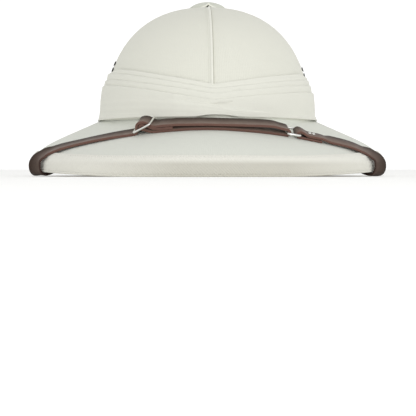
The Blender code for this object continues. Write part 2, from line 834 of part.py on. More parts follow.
def make_ring(material, parts):
    corners = frame_corners(RING_PLACE - RING_PITCH, RING_PLACE + RING_PITCH,
                            RING_LIFT, RING_LIFT, RING_HALF_WIDTH)
    return wire_loop("strap_ring", corners, RING_WIRE, material, parts)


def make_slide(material, parts):
    corners = frame_corners(SLIDE_PLACE - SLIDE_PITCH, SLIDE_PLACE + SLIDE_PITCH,
                            SLIDE_LIFT_LEFT, SLIDE_LIFT_RIGHT, SLIDE_HALF_WIDTH)
    frame = wire_loop("slide_frame", corners, SLIDE_WIRE, material, parts)
    near = (corners[0] + corners[1]) / 2
    far = (corners[2] + corners[3]) / 2
    bar = wire_bar("slide_bar", near, far, SLIDE_WIRE, material, parts)
    return join_curves("slide_buckle", (frame, bar), material, parts)


def wire_bar(name, start, end, radius, material, parts):
    mesh = bmesh.new()
    bmesh.ops.create_cone(mesh, cap_ends=True, segments=8, radius1=radius, radius2=radius,
                          depth=(end - start).length)
    data = bpy.data.meshes.new(name)
    mesh.to_mesh(data)
    mesh.free()
    bar = finish_mesh(name, data, material, parts)
    stand_on(bar, (start + end) / 2, end - start)
    return bar


def as_mesh(obj, name, material, collection):
    """A mesh copy of an object as the viewport evaluates it, with its caps welded."""
    bpy.context.view_layer.update()
    graph = bpy.context.evaluated_depsgraph_get()
    data = bpy.data.meshes.new_from_object(obj.evaluated_get(graph))
    mesh = bmesh.new()
    mesh.from_mesh(data)
    bmesh.ops.remove_doubles(mesh, verts=mesh.verts, dist=1e-6)
    mesh.to_mesh(data)
    mesh.free()
    data.materials.clear()
    copy = finish_mesh(name, data, material, collection)
    copy.matrix_world = obj.matrix_world.copy()
    bpy.data.objects.remove(obj, do_unlink=True)
    return copy


def join_curves(name, pieces, material, parts):
    """One solid from wires that are brazed together."""
    cutters = bpy.data.collections["cutters"]
    body = as_mesh(pieces[0], name, material, parts)
    for piece in pieces[1:]:
        tool = as_mesh(piece, piece.name + "_tool", material, cutters)
        tool.hide_render = True
        tool.display_type = "WIRE"
        union = body.modifiers.new("join", "BOOLEAN")
        union.operation = "UNION"
        union.solver = "EXACT"
        union.object = tool
    return body


def make_rivets(steel, parts, cutters, strap):
    """Two rivets through both layers of the right strap."""
    top = LAY_MIDDLE + STRAP / 2 + GAP
    for index, place in enumerate(RIVET_PLACES):
        ground, _, _, up = strap_frame(place)
        profile = [(0.0, top + RIVET_DOME), (RIVET_HEAD * 0.6, top + RIVET_DOME * 0.8),
                   (RIVET_HEAD, top + RIVET_EDGE), (RIVET_HEAD, top), (RIVET_SHANK, top),
                   (RIVET_SHANK, RIVET_FOOT), (0.0, RIVET_FOOT)]
        rivet = turned("strap_rivet_%d" % (index + 1), profile, 10, steel, parts)
        stand_on(rivet, ground, up)
        middle = ground + up * (LAY_LOW + LAY_MIDDLE) / 2
        add_boolean(strap, make_cutter("rivet_hole_%d" % (index + 1), middle, up, RIVET_HOLE,
                                       RIVET_DRILL, cutters, 8))


def make_anchor(name, hand, steel, parts, cutters, strap, shell):
    """The pin that holds the hidden strap end to the inside wall."""
    angle = radians(180.0 - ANCHOR_ANGLE)
    _, _, centre, high = [anchor_point(angle, *row) for row in ANCHOR_STATIONS]
    round_wall = Vector((-sin(angle), cos(angle), 0.0))
    axis = round_wall.cross(centre - high).normalized()
    if hand < 0:
        centre.x *= -1
        axis.x *= -1
    head = STRAP / 2 + GAP
    profile = [(0.0, head + ANCHOR_DOME), (ANCHOR_HEAD * 0.7, head + ANCHOR_DOME * 0.75),
               (ANCHOR_HEAD, head), (ANCHOR_PIN, head), (ANCHOR_PIN, -ANCHOR_DEPTH),
               (0.0, -ANCHOR_DEPTH)]
    pin = turned("anchor_pin_" + name, profile, 12, steel, parts)
    stand_on(pin, centre, axis)
    deep = ANCHOR_DEPTH + ANCHOR_DRILL_DEEPER
    middle = centre + axis * (ANCHOR_DRILL_OUT - deep) / 2
    cutter = make_cutter("anchor_hole_" + name, middle, axis, ANCHOR_HOLE,
                         deep + ANCHOR_DRILL_OUT, cutters)
    add_boolean(strap, cutter)
    add_boolean(shell, cutter)


def build():
    clear_scene()
    parts = new_collection("pith_helmet")
    cutters = new_collection("cutters")
    paint = {name: new_material(name) for name in MATERIALS}
    cloth, steel = paint["cloth"], paint["steel"]
    shell = make_shell(paint["pith"], parts)
    crown_cover = make_cover("crown_cover", crown, CROWN_STATIONS, cloth, parts)
    make_cover("brim_cover", brim, BRIM_STATIONS, cloth, parts)
    make_binding(cloth, parts)
    make_puggaree(cloth, parts)
    make_cap(cloth, parts)
    front, back = radians(SEAM_TURN - 90), radians(SEAM_TURN + 90)
    make_piping("seam_piping_front", front,
                edge_height(PUGGAREE_EDGES[0], front) + PIPING_START, cloth, parts)
    make_piping("seam_piping_back", back,
                edge_height(PUGGAREE_EDGES[0], back) + PIPING_START, cloth, parts)
    for name, degrees, height in EYELET_PLACES:
        eyelet, axis = make_eyelet(name, radians(degrees), height, paint["dark_metal"], parts)
        cutter = make_cutter("vent_hole_" + name, eyelet.matrix_world.translation, axis,
                             EYELET_CUT, 0.030, cutters)
        add_boolean(crown_cover, cutter)
        add_boolean(shell, cutter)
    left, right = make_straps(paint["leather"], parts)
    make_slide(steel, parts)
    make_ring(steel, parts)
    make_rivets(steel, parts, cutters, right)
    make_anchor("left", -1, steel, parts, cutters, left, shell)
    make_anchor("right", 1, steel, parts, cutters, right, shell)


build()
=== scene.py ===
"""Looks of a white pith helmet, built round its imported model.

The hat stands on its brim on z = 0 and faces -Y. Left and right are as seen from the front.
"""
from functools import partial
from math import asin, atan2, cos, hypot, pi, radians, sin, tau

import bmesh
import bpy
from mathutils import Matrix, Vector, noise


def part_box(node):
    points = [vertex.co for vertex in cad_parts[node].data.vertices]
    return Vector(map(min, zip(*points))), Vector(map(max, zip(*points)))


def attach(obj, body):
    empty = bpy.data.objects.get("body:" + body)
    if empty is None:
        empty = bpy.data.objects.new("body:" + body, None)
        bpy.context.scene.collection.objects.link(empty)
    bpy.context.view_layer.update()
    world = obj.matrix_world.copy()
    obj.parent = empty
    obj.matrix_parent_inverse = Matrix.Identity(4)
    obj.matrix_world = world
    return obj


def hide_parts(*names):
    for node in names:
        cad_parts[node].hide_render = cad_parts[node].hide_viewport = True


bl_info = {
    "name": "Pith Helmet",
    "version": (1, 0, 0),
    "blender": (4, 5, 0),
    "location": "View3D > Sidebar > Pith Helmet",
    "description": "Cloth, leather and metal of a pith helmet, laid over its packed model",
    "category": "Object",
}

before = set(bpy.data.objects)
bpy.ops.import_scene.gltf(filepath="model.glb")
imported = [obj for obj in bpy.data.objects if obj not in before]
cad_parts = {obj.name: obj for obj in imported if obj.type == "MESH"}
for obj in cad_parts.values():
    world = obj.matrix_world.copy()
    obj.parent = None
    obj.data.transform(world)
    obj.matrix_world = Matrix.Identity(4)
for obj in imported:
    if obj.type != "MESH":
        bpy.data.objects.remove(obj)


# Sizes and colours

def node_reach(node, axis):
    """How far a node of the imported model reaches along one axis."""
    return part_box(node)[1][axis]


def linear(code):
    """Linear colour of an sRGB hex code."""
    channels = [int(code[at:at + 2], 16) / 255 for at in (1, 3, 5)]
    return tuple(c / 12.92 if c <= 0.04045 else ((c + 0.055) / 1.055) ** 2.4 for c in channels)


def length_property(name, description, default):
    return bpy.props.FloatProperty(name=name, description=description, default=default,
                                   precision=4, unit="LENGTH", subtype="DISTANCE")


def colour_property(name, description, code):
    return bpy.props.FloatVectorProperty(name=name, description=description, size=3, min=0.0,
                                         max=1.0, subtype="COLOR", default=linear(code))


class HelmetSizes(bpy.types.PropertyGroup):
    """Main sizes of the hat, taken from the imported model"""
    brim_half_width: length_property(
        "Brim half width", "From the middle to the side of the rim", node_reach("brim_binding", 0))
    brim_half_length: length_property(
        "Brim half length", "From the middle to the back of the rim", node_reach("brim_binding", 1))
    crown_half_width: length_property(
        "Crown half width", "From the middle to the side of the crown",
        node_reach("crown_cover", 0))
    crown_half_length: length_property(
        "Crown half length", "From the middle to the back of the crown",
        node_reach("crown_cover", 1))
    crown_top: length_property("Crown top", "Height of the top of the cloth crown", 0.1565)
    cap_radius: length_property(
        "Cap radius", "Radius of the ventilator cap", node_reach("ventilator_cap", 0))
    cap_top: length_property(
        "Cap top", "Height of the top of the ventilator cap", node_reach("ventilator_cap", 2))
    strap_width: length_property("Strap width", "Width of the chin strap", 0.0140)
    strap_thickness: length_property("Strap thickness", "Thickness of its leather", 0.0021)
    steps: bpy.props.IntProperty(
        name="Steps round", description="Steps of each sewn piece round the hat",
        default=180, min=40, max=360)


class HelmetColours(bpy.types.PropertyGroup):
    """Colours of the hat's materials"""
    drill: colour_property("Cotton drill", "Cloth of the crown and the brim", "#DCDCD1")
    brim_drill: colour_property("Brim drill", "Cloth of the brim's upper side", "#D9DBD2")
    binding: colour_property("Binding twill", "Twill round the rim", "#E2E1D8")
    # Painted shade colour for the lower face of the rim's twill
    foot_shade: colour_property("Painted foot shade", "Twill on the lower face of the rim", "#C4C2B7")
    puggaree: colour_property("Puggaree cotton", "Pleated cotton round the crown", "#DEDED4")
    cap: colour_property("Cap drill", "Cloth of the ventilator cap", "#D0D2C6")
    # Painted highlight colour for the seams' ridges and the cap's lip
    piping: colour_property("Painted highlight", "Painted highlight on the seam ridges and the cap's lip", "#EAEAE0")
    # Painted shadow colour for the corner beside a seam
    dusty: colour_property("Dusty drill", "Cloth in the corner beside a seam", "#BDBCB0")
    pith: colour_property("Pith", "Bare moulded pith inside", "#B9A884")
    leather: colour_property("Strap leather", "Grain side of the chin strap", "#2C1D13")
    # Painted sheen colour for the strap's face
    leather_sheen: colour_property("Painted leather sheen", "Painted sheen towards the strap's near edge", "#7C6A60")
    leather_edge: colour_property("Leather edge", "Cut edge of the chin strap", "#674B42")
    nickel: colour_property("Nickel plate", "Slide, ring, rivets and pins", "#E8E8E4")
    eyelet: colour_property("Oxidised brass", "Vent eyelets", "#3A3934")
    floor: colour_property("Floor", "Studio floor and backdrop", "#F7F7F5")


# Outer cloth surface of the hat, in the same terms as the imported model

GAP = 0.0003
CLOTH = 0.0010
PITH = 0.0080
SHELL_OUTSIDE = CLOTH + GAP
SHELL_INSIDE = SHELL_OUTSIDE + PITH
BINDING = 0.0014
BINDING_START = 0.90
COVER_END = 0.955
BRIM_SQUARENESS = 2.2
CROWN_ROUND_OUT = 2.38
CROWN_ROUND_UP = 2.26
JUNCTION_FRONT = 0.0475
JUNCTION_SIDE = 0.0535
RIM_CORNER = 0.00965
RIM_SIDE_LIFT = 0.0052
RIM_FLAT_SHARE = 0.42
BRIM_STRAIGHT = 0.78
BRIM_ROLL_POWER = 8.0
QUARTER_DIP = 0.0020
VENT_HOLE = 0.0070
LOWEST_CLIMB = 0.001
HIGHEST_CLIMB = 1.55
# Step at which a surface is read beside a point for its normal, in radians or reach
NEARBY = 1e-4
# Where the search for the brim's reach below a point starts, and how often it is halved
FARTHEST_REACH = 1.2
HALVINGS = 36
# The sewn cover sits turned a little on the crown, with its seams and the puggaree's V
SEAM_TURN = 2.66


def power(value, exponent):
    return abs(value) ** exponent * (1 if value >= 0 else -1)


def oval(angle, half_width, half_length, squareness):
    return (half_width * power(cos(angle), 2 / squareness),
            half_length * power(sin(angle), 2 / squareness))


def smooth_step(value, low, high):
    share = min(1.0, max(0.0, (value - low) / (high - low)))
    return share * share * (3 - 2 * share)


class HatForm:
    """The hat's outer surface for the sizes in the panel."""

    def __init__(self, sizes):
        self.width, self.length = sizes.brim_half_width, sizes.brim_half_length
        self.crown_width, self.crown_length = sizes.crown_half_width, sizes.crown_half_length
        self.top = sizes.crown_top

    def junction(self, angle):
        return JUNCTION_FRONT + (JUNCTION_SIDE - JUNCTION_FRONT) * cos(angle) ** 6

    def rim_lift(self, angle):
        share = abs(power(cos(angle), 2 / BRIM_SQUARENESS))
        rise = max(0.0, (share - RIM_FLAT_SHARE) / (1 - RIM_FLAT_SHARE))
        return RIM_SIDE_LIFT * rise ** 1.5

    def crown(self, angle, climb):
        """Climb runs from 0 at the brim to a right angle at the top."""
        spread = cos(climb) ** (2 / CROWN_ROUND_OUT)
        rise = sin(climb) ** (2 / CROWN_ROUND_UP)
        base = self.junction(angle)
        x, y = oval(angle, self.crown_width * spread, self.crown_length * spread, 2.0)
        return Vector((x, y, base + (self.top - base) * rise))

    def plan(self, reach):
        """Half axes and squareness of the brim's outline at a reach."""
        return (self.crown_width + (self.width - self.crown_width) * reach,
                self.crown_length + (self.length - self.crown_length) * reach,
                2.0 + (BRIM_SQUARENESS - 2.0) * reach)

    def brim(self, angle, reach):
        """Reach runs from 0 at the crown to 1 at the rim."""
        x, y = oval(angle, *self.plan(reach))
        base = self.junction(angle)
        corner = RIM_CORNER + self.rim_lift(angle)
        roll = max(reach, 0.0) ** BRIM_ROLL_POWER
        fall = BRIM_STRAIGHT * reach + (1 - BRIM_STRAIGHT) * roll
        dip = QUARTER_DIP * sin(2 * angle) ** 2 * 4 * reach * (1 - reach)
        return Vector((x, y, base - (base - corner) * fall - dip))

    def outward(self, surface, angle, place):
        """Unit normal of a surface, away from the pith."""
        round_it = surface(angle + NEARBY, place) - surface(angle - NEARBY, place)
        along_it = surface(angle, place + NEARBY) - surface(angle, place - NEARBY)
        normal = round_it.cross(along_it)
        return normal.normalized() * (1 if surface == self.crown else -1)

    def off_crown(self, angle, climb, distance):
        return self.crown(angle, climb) + self.outward(self.crown, angle, climb) * distance

    def off_brim(self, angle, reach, distance):
        return self.brim(angle, reach) + self.outward(self.brim, angle, reach) * distance

    def climb_at(self, angle, height):
        base = self.junction(angle)
        rise = min(1.0, max(0.0, (height - base) / (self.top - base)))
        return min(HIGHEST_CLIMB, max(LOWEST_CLIMB, asin(rise ** (CROWN_ROUND_UP / 2))))

    def on_crown(self, angle, height, distance):
        """Point at a distance off the crown, level with a height on it."""
        return self.off_crown(angle, self.climb_at(angle, height), distance)

    def rim(self, angle, inset, height):
        x, y = oval(angle, self.width - inset, self.length - inset, BRIM_SQUARENESS)
        return Vector((x, y, height))

    def below(self, x, y):
        """Angle and reach of the brim's surface at a point in plan."""
        low, high = 0.0, FARTHEST_REACH
        for _ in range(HALVINGS):
            reach = (low + high) / 2
            half_width, half_length, squareness = self.plan(reach)
            outside = abs(x / half_width) ** squareness + abs(y / half_length) ** squareness > 1
            low, high = (reach, high) if outside else (low, reach)
        return atan2(power(y / half_length, squareness / 2),
                     power(x / half_width, squareness / 2)), reach

    def ground(self, point):
        return self.brim(*self.below(point.x, point.y))


def hat_form(context):
    return HatForm(context.scene.helmet_sizes)


# Ways of making a piece

SHARP_ANGLE = radians(50)
SAME_POINT = 1e-7
DRILL_SIDES = 24


def stations(first, last, count):
    """Evenly spaced places from first to last."""
    return [first + (last - first) * step / count for step in range(count + 1)]


def running_lengths(points):
    """Length of the way along a row of points, up to each of them."""
    lengths = [0.0]
    for before, after in zip(points, points[1:]):
        lengths.append(lengths[-1] + (after - before).length)
    return lengths


def read_row(rows, place):
    """Value at a place between the rows of a table, each a place and a value."""
    for (before, low), (after, high) in zip(rows, rows[1:]):
        if place <= after:
            return low + (high - low) * max(0.0, place - before) / (after - before)
    return rows[-1][1]


def linked_object(name, mesh):
    """Make a finished bmesh an object of the scene."""
    data = bpy.data.meshes.new(name)
    mesh.to_mesh(data)
    mesh.free()
    made = bpy.data.objects.new(name, data)
    bpy.context.scene.collection.objects.link(made)
    return made


def new_piece(name, mesh, finishes, nodes):
    """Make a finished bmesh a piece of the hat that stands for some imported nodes."""
    piece = linked_object(name, mesh)
    for finish_name in finishes:
        piece.data.materials.append(finish(finish_name))
    piece.data.shade_smooth()
    piece.data.set_sharp_from_angle(angle=SHARP_ANGLE)
    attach(piece, "root")
    if nodes:
        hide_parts(*nodes)
    return piece


def spin_round(row, closed, steps):
    """Spin a row of points once round Z; a closed row joins its last point to its first."""
    mesh = bmesh.new()
    verts = [mesh.verts.new(point) for point in row]
    ends = verts[1:] + verts[:1] if closed else verts[1:]
    edges = [mesh.edges.new(pair) for pair in zip(verts, ends)]
    bmesh.ops.spin(mesh, geom=verts + edges, cent=(0, 0, 0), axis=(0, 0, 1), angle=tau,
                   steps=steps, use_merge=True)
    return mesh


def spun_row(section, steps, closed=True):
    """Spin a row of points once round the hat, and lay every copy on the hat's section there.

    The piece gets a UV map in metres: round the hat, and along its section.
    """
    first = section(0.0)
    mesh = spin_round([(1.0 + index, 0.0, 0.0) for index in range(len(first))], closed, steps)
    along = running_lengths(first)
    radius = sum(hypot(point.x, point.y) for point in first) / len(first)
    turn = tau / steps
    places = {vert: (round(atan2(vert.co.y, vert.co.x) / turn) % steps,
                     round(hypot(vert.co.x, vert.co.y)) - 1) for vert in mesh.verts}
    sections = [section(turn * step) for step in range(steps)]
    for vert, (step, index) in places.items():
        vert.co = sections[step][index]
    uv = mesh.loops.layers.uv.new("cloth")
    for face in mesh.faces:
        last = max(places[loop.vert][0] for loop in face.loops)
        for loop in face.loops:
            step, index = places[loop.vert]
            step += steps if last - step > 1 else 0
            loop[uv].uv = (radius * turn * step, along[index])
    bmesh.ops.recalc_face_normals(mesh, faces=mesh.faces)
    return mesh


def spun_piece(context, name, section, finish_name, node):
    """Spin a section of the hat's form into the piece that stands for one node."""
    form, steps = hat_form(context), context.scene.helmet_sizes.steps
    mesh = spun_row(lambda angle: section(form, angle), steps)
    return new_piece(name, mesh, [finish_name], [node])


def stand(point, axis):
    """Matrix that puts a part's origin on a point, with its own Z along an axis."""
    return Matrix.Translation(point) @ axis.to_track_quat("Z", "Y").to_matrix().to_4x4()


def turned(profile, steps, point, axis):
    """A small turned part on a point, from a closed or axis-to-axis (radius, height) row."""
    on_axis = profile[0][0] == 0.0
    mesh = spin_round([(radius, 0.0, height) for radius, height in profile], not on_axis, steps)
    bmesh.ops.remove_doubles(mesh, verts=mesh.verts, dist=SAME_POINT)
    bmesh.ops.recalc_face_normals(mesh, faces=mesh.faces)
    bmesh.ops.transform(mesh, matrix=stand(point, axis), verts=mesh.verts)
    return mesh


def add_part(whole, part):
    """Add one bmesh to another and free it."""
    data = bpy.data.meshes.new("part")
    part.to_mesh(data)
    part.free()
    whole.from_mesh(data)
    bpy.data.meshes.remove(data)


def drill(piece, holes):
    """Cut round holes through a piece: each is a point, an axis, a radius and a length."""
    drills = bmesh.new()
    for point, axis, radius, length in holes:
        bmesh.ops.create_cone(drills, cap_ends=True, segments=DRILL_SIDES, radius1=radius,
                              radius2=radius, depth=length, matrix=stand(point, axis))
    cutter = linked_object("drills", drills)
    cut = piece.modifiers.new("holes", "BOOLEAN")
    cut.object = cutter
    cut.solver = "EXACT"
    graph = bpy.context.evaluated_depsgraph_get()
    cut_mesh = bpy.data.meshes.new_from_object(piece.evaluated_get(graph))
    piece.modifiers.clear()
    piece.data = cut_mesh
    piece.data.set_sharp_from_angle(angle=SHARP_ANGLE)
    # Removing a mesh or a curve also removes the object that shows it
    bpy.data.meshes.remove(cutter.data)


def round_wire(points, radius, closed):
    """Bmesh of a bent wire through points."""
    curve = bpy.data.curves.new("wire", "CURVE")
    curve.dimensions = "3D"
    curve.bevel_depth = radius
    curve.bevel_resolution = 5
    curve.use_fill_caps = not closed
    spline = curve.splines.new("POLY")
    spline.points.add(len(points) - 1)
    for slot, point in zip(spline.points, points):
        slot.co = (*point, 1.0)
    spline.use_cyclic_u = closed
    data = bpy.data.meshes.new_from_object(bpy.data.objects.new("wire", curve))
    mesh = bmesh.new()
    mesh.from_mesh(data)
    bmesh.ops.remove_doubles(mesh, verts=mesh.verts, dist=SAME_POINT)
    bpy.data.curves.remove(curve)
    bpy.data.meshes.remove(data)
    return mesh


# Materials

COLOURS = {"data_type": "RGBA"}
SMOOTH = {"interpolation_type": "SMOOTHSTEP"}
ADD_PRODUCT = {"operation": "MULTIPLY_ADD"}
PRODUCT = {"operation": "MULTIPLY"}
SCALED = {"operation": "SCALE"}
WHITE = (1.0, 1.0, 1.0, 1.0)


def set_inputs(node, inputs):
    """Set a node's inputs to numbers and colours, or link them from other nodes.

    An input is its name with _ for a space, or _ and its number: in a map range _1 and _2 are
    the range read and _3 and _4 the range made. A node stands for its factor, or else for its
    first output in use.
    """
    for name, value in inputs.items():
        key = int(name[1:]) if name[1:].isdigit() else name.replace("_", " ")
        if isinstance(value, bpy.types.Node):
            value = value.outputs.get("Fac") or next(o for o in value.outputs if o.enabled)
        if isinstance(value, bpy.types.NodeSocket):
            node.id_data.links.new(value, node.inputs[key])
        else:
            node.inputs[key].default_value = value


def add_node(tree, kind, settings=None, **inputs):
    """Add a node of a kind to a tree, with its settings and its inputs."""
    made = tree.nodes.new("ShaderNode" + kind)
    for name, value in (settings or {}).items():
        setattr(made, name, value)
    set_inputs(made, inputs)
    return made


def surfaced(material, **inputs):
    """Give a material's shader its inputs."""
    set_inputs(material.node_tree.nodes["Principled BSDF"], inputs)
    return material


def new_material(name, **inputs):
    """A material, add_node for its tree, and a point's place on the piece and in its UV map."""
    material = bpy.data.materials.new(name)
    material.use_nodes = True
    add = partial(add_node, material.node_tree)
    outputs = add("TexCoord").outputs
    return surfaced(material, **inputs), add, outputs["Object"], outputs["UV"]


def tone(colour, share):
    """A colour made darker or lighter by a share, for a node's input."""
    return (*[min(1.0, channel * share) for channel in colour], 1.0)


# Painted shade at the rim's foot: up to these heights, and most this far across and round there
FOOT_SHADE_LOW, FOOT_SHADE_HIGH = 0.0098, 0.0152
FOOT_SHADE_MIDDLE = 0.022
FOOT_SHADE_NEAR, FOOT_SHADE_FAR, FOOT_SHADE_FAR_SHARE = 0.045, 0.125, 0.25


def woven_cotton(name, colour, thread_mm, slant, relief, mottle, foot_shade_colour=None):
    """Cotton cloth: two sets of threads, or slanted twill wales, over a faint uneven dye.

    A foot shade colour is painted shade at the foot of the rim, darkest low down and near the
    middle across the hat.
    """
    material, add, place, uv = new_material(name, Roughness=0.88, Sheen_Weight=0.12,
                                            Sheen_Roughness=0.5, Specular_IOR_Level=0.25)
    cloth = add("Mapping", Vector=uv, Rotation=(0.0, 0.0, radians(slant)))
    # A Blender wave turns once in tau / 20 of its scaled place, so this gives one turn a thread
    scale = 1000.0 / thread_mm * tau / 20.0
    warp = add("TexWave", {"bands_direction": "X"}, Vector=cloth, Scale=scale, Distortion=0.6,
               Detail=1.0, Detail_Scale=2.0)
    weft = add("TexWave", {"bands_direction": "Y"}, Vector=cloth,
               Scale=scale * (0.45 if slant else 1.0), Distortion=0.8, Detail=1.0,
               Detail_Scale=2.0)
    weave = add("Math", ADD_PRODUCT, _0=weft, _1=0.35 if slant else 1.0, _2=warp)
    slubs = add("TexNoise", Vector=place, Scale=420.0, Detail=3.0, Roughness=0.6)
    height = add("Math", ADD_PRODUCT, _0=slubs, _1=0.9, _2=weave)
    clouds = add("TexNoise", Vector=place, Scale=16.0, Detail=4.0, Roughness=0.55)
    dye = add("Mix", COLOURS, _0=clouds, _6=tone(colour, 1.0 - mottle),
              _7=tone(colour, 1.0 + mottle))
    if foot_shade_colour:
        # Painted shade: darker low on the rim, most near the middle across the hat
        axes = add("SeparateXYZ", Vector=place).outputs
        low = add("MapRange", SMOOTH, Value=axes["Z"], _1=FOOT_SHADE_LOW, _2=FOOT_SHADE_HIGH, _3=1.0, _4=0.0)
        aside = add("Math", {"operation": "SUBTRACT"}, _0=axes["X"], _1=FOOT_SHADE_MIDDLE)
        aside = add("Math", {"operation": "ABSOLUTE"}, _0=aside)
        front = add("MapRange", Value=aside, _1=FOOT_SHADE_NEAR, _2=FOOT_SHADE_FAR, _3=1.0,
                    _4=FOOT_SHADE_FAR_SHARE)
        dye = add("Mix", COLOURS, _0=add("Math", PRODUCT, _0=low, _1=front), _6=dye,
                  _7=(*foot_shade_colour, 1.0))
    threads = add("MapRange", Value=weave, _1=0.0, _2=2.0, _3=0.965, _4=1.015)
    return surfaced(material, Base_Color=add("VectorMath", SCALED, _0=dye, _3=threads),
                    Normal=add("Bump", Height=height, Strength=relief, Distance=0.0003))


def moulded_pith(name, colour):
    """Pressed plant pith: a dry matt tan with darker pores a few millimetres apart."""
    material, add, place, _ = new_material(name, Roughness=0.95, Specular_IOR_Level=0.2)
    pores = add("TexVoronoi", Vector=place, Scale=330.0)
    patches = add("TexNoise", Vector=place, Scale=60.0, Detail=5.0, Roughness=0.6)
    tan = add("Mix", COLOURS, _0=patches, _6=tone(colour, 0.82), _7=tone(colour, 1.12))
    return surfaced(material, Base_Color=tan,
                    Normal=add("Bump", Height=pores, Strength=0.35, Distance=0.0006))


def waxed_leather(name, colour, sheen_colour):
    """Vegetable-tanned strap leather, waxed: dark, fine grained, with a soft sheen and a painted
    paler sheen towards its near edge.
    """
    material, add, place, uv = new_material(name, Roughness=0.48, Specular_IOR_Level=0.19)
    grain = add("TexVoronoi", Vector=place, Scale=900.0)
    wear_and_sheen = add("TexNoise", Vector=place, Scale=90.0, Detail=5.0, Roughness=0.65)
    # Painted sheen, paler towards the near edge, with painted shade dimming it low down where the
    # strap turns round the rim
    across = add("SeparateXYZ", Vector=uv).outputs["Y"]
    painted_highlight = add("MapRange", SMOOTH, Value=across, _1=-0.0082, _2=0.0068, _3=0.0, _4=1.0)
    height = add("SeparateXYZ", Vector=place).outputs["Z"]
    # Painted shade: less of the painted sheen low down, on the wrap round the rim
    lit = add("MapRange", Value=height, _1=0.012, _2=0.026, _3=0.32, _4=1.0)
    patchy = add("MapRange", Value=wear_and_sheen, _1=0.3, _2=0.7, _3=0.80, _4=1.0)
    share = add("Math", PRODUCT, _0=add("Math", PRODUCT, _0=painted_highlight, _1=lit), _1=patchy)
    brown = add("Mix", COLOURS, _0=share, _6=tone(colour, 1.0), _7=tone(sheen_colour, 1.0))
    polish = add("MapRange", Value=wear_and_sheen, _1=0.3, _2=0.7, _3=0.55, _4=0.42)
    return surfaced(material, Base_Color=brown, Roughness=polish,
                    Normal=add("Bump", Height=grain, Strength=0.25, Distance=0.0002))


def cut_leather(name, colour):
    """The raw cut edge of the same leather: reddish, matt and fibrous."""
    material, add, place, _ = new_material(name, Roughness=0.75, Specular_IOR_Level=0.3)
    fibres = add("TexNoise", Vector=place, Scale=700.0, Detail=4.0, Roughness=0.7)
    red = add("Mix", COLOURS, _0=fibres, _6=tone(colour, 0.7), _7=tone(colour, 1.35))
    # Painted shade: darker low down, where it turns round the rim
    height = add("SeparateXYZ", Vector=place).outputs["Z"]
    painted_edge_shade = add("MapRange", Value=height, _1=0.013, _2=0.023, _3=0.30, _4=1.0)
    return surfaced(material, Base_Color=add("VectorMath", SCALED, _0=red, _3=painted_edge_shade),
                    Normal=add("Bump", Height=fibres, Strength=0.4, Distance=0.0002))


def plated_metal(name, colour, rough, scratch_scale):
    """Plated or oxidised metal with faint handling scratches that only change its gloss."""
    material, add, place, _ = new_material(name, Roughness=rough, Metallic=1.0)
    scratches = add("TexNoise", Vector=place, Scale=scratch_scale, Detail=6.0, Roughness=0.7)
    gloss = add("MapRange", Value=scratches, _1=0.3, _2=0.7, _3=rough * 0.7, _4=rough * 1.4)
    tarnish = add("Mix", COLOURS, _0=scratches, _6=tone(colour, 0.85), _7=tone(colour, 1.05))
    return surfaced(material, Roughness=gloss, Base_Color=tarnish)


def studio_paper(name, colour):
    """Seamless white studio paper, matt with a faint unevenness."""
    material, add, place, _ = new_material(name, Roughness=0.9, Specular_IOR_Level=0.1,
                                           Emission_Color=WHITE, Emission_Strength=0.12)
    pulp = add("TexNoise", Vector=place, Scale=3.0, Detail=2.0)
    return surfaced(material, Base_Color=add("Mix", COLOURS, _0=pulp, _6=tone(colour, 0.995),
                                             _7=tone(colour, 1.0)))


# Thread spacing in mm, slant in degrees, relief and mottle of each weave. Drill's 0.5 mm threads
# are drawn 1.2 mm apart so that they show at all, and the tape's 0.7 mm wales at 1.7 mm.
DRILL = (1.2, 0.0, 0.30, 0.012)
TWILL = (1.7, 38.0, 0.55, 0.018)
FINE_COTTON = (1.0, 0.0, 0.22, 0.010)
THREAD = (0.4, 30.0, 0.2, 0.0)


def finish(name):
    """The named finish, made on first use from the colours in the panel."""
    if name in bpy.data.materials:
        return bpy.data.materials[name]
    colours = bpy.context.scene.helmet_colours
    maker, *look = {
        "cotton_drill": (woven_cotton, colours.drill, *DRILL),
        "brim_drill": (woven_cotton, colours.brim_drill, *DRILL),
        "cap_drill": (woven_cotton, colours.cap, *DRILL),
        "folded_drill": (woven_cotton, colours.piping, *DRILL),
        "dusty_drill": (woven_cotton, colours.dusty, *DRILL),
        "binding_twill": (woven_cotton, colours.binding, *TWILL, colours.foot_shade),
        "puggaree_cotton": (woven_cotton, colours.puggaree, *FINE_COTTON),
        # Cotton sewing thread, with the same painted shade as the cloth that it holds at the rim's
        # foot
        "cotton_thread": (woven_cotton, tone(colours.binding, 0.94)[:3], *THREAD,
                          tone(colours.foot_shade, 0.90)[:3]),
        "moulded_pith": (moulded_pith, colours.pith),
        "waxed_leather": (waxed_leather, colours.leather, colours.leather_sheen),
        "cut_leather": (cut_leather, colours.leather_edge),
        "nickel_plate": (plated_metal, colours.nickel, 0.20, 700.0),
        "oxidised_brass": (plated_metal, colours.eyelet, 0.45, 500.0),
        "studio_paper": (studio_paper, colours.floor),
    }[name]
    return maker(name, *look)


# Moulded body and its covers

CROWN_CLIMBS = [radians(a) for a in (0.5, 2, 4, 7, 10, 14, 18, 22, 27, 32, 37, 42, 47, 52, 57, 62,
                                     67, 72, 76, 80, 83)]
BRIM_REACHES = stations(0.05, COVER_END, 22)
LAP_HEIGHTS = (0.0040, 0.0028, 0.0016)
LAP_SAG = 0.0003
VENT_EDGE_DROP = 0.0004
SHELL_EDGE = 0.0005
# The shell's underside runs in to this reach, and bends up there into the hollow of the crown
ROOT_REACH = 0.27
ROOT_DROP = 0.0085
ROOT_SHARES = (0.5, 0.85)
ROOT_RISE = 0.0012
# First of the crown's climbs that the wall of the hollow follows
HOLLOW_START = 4
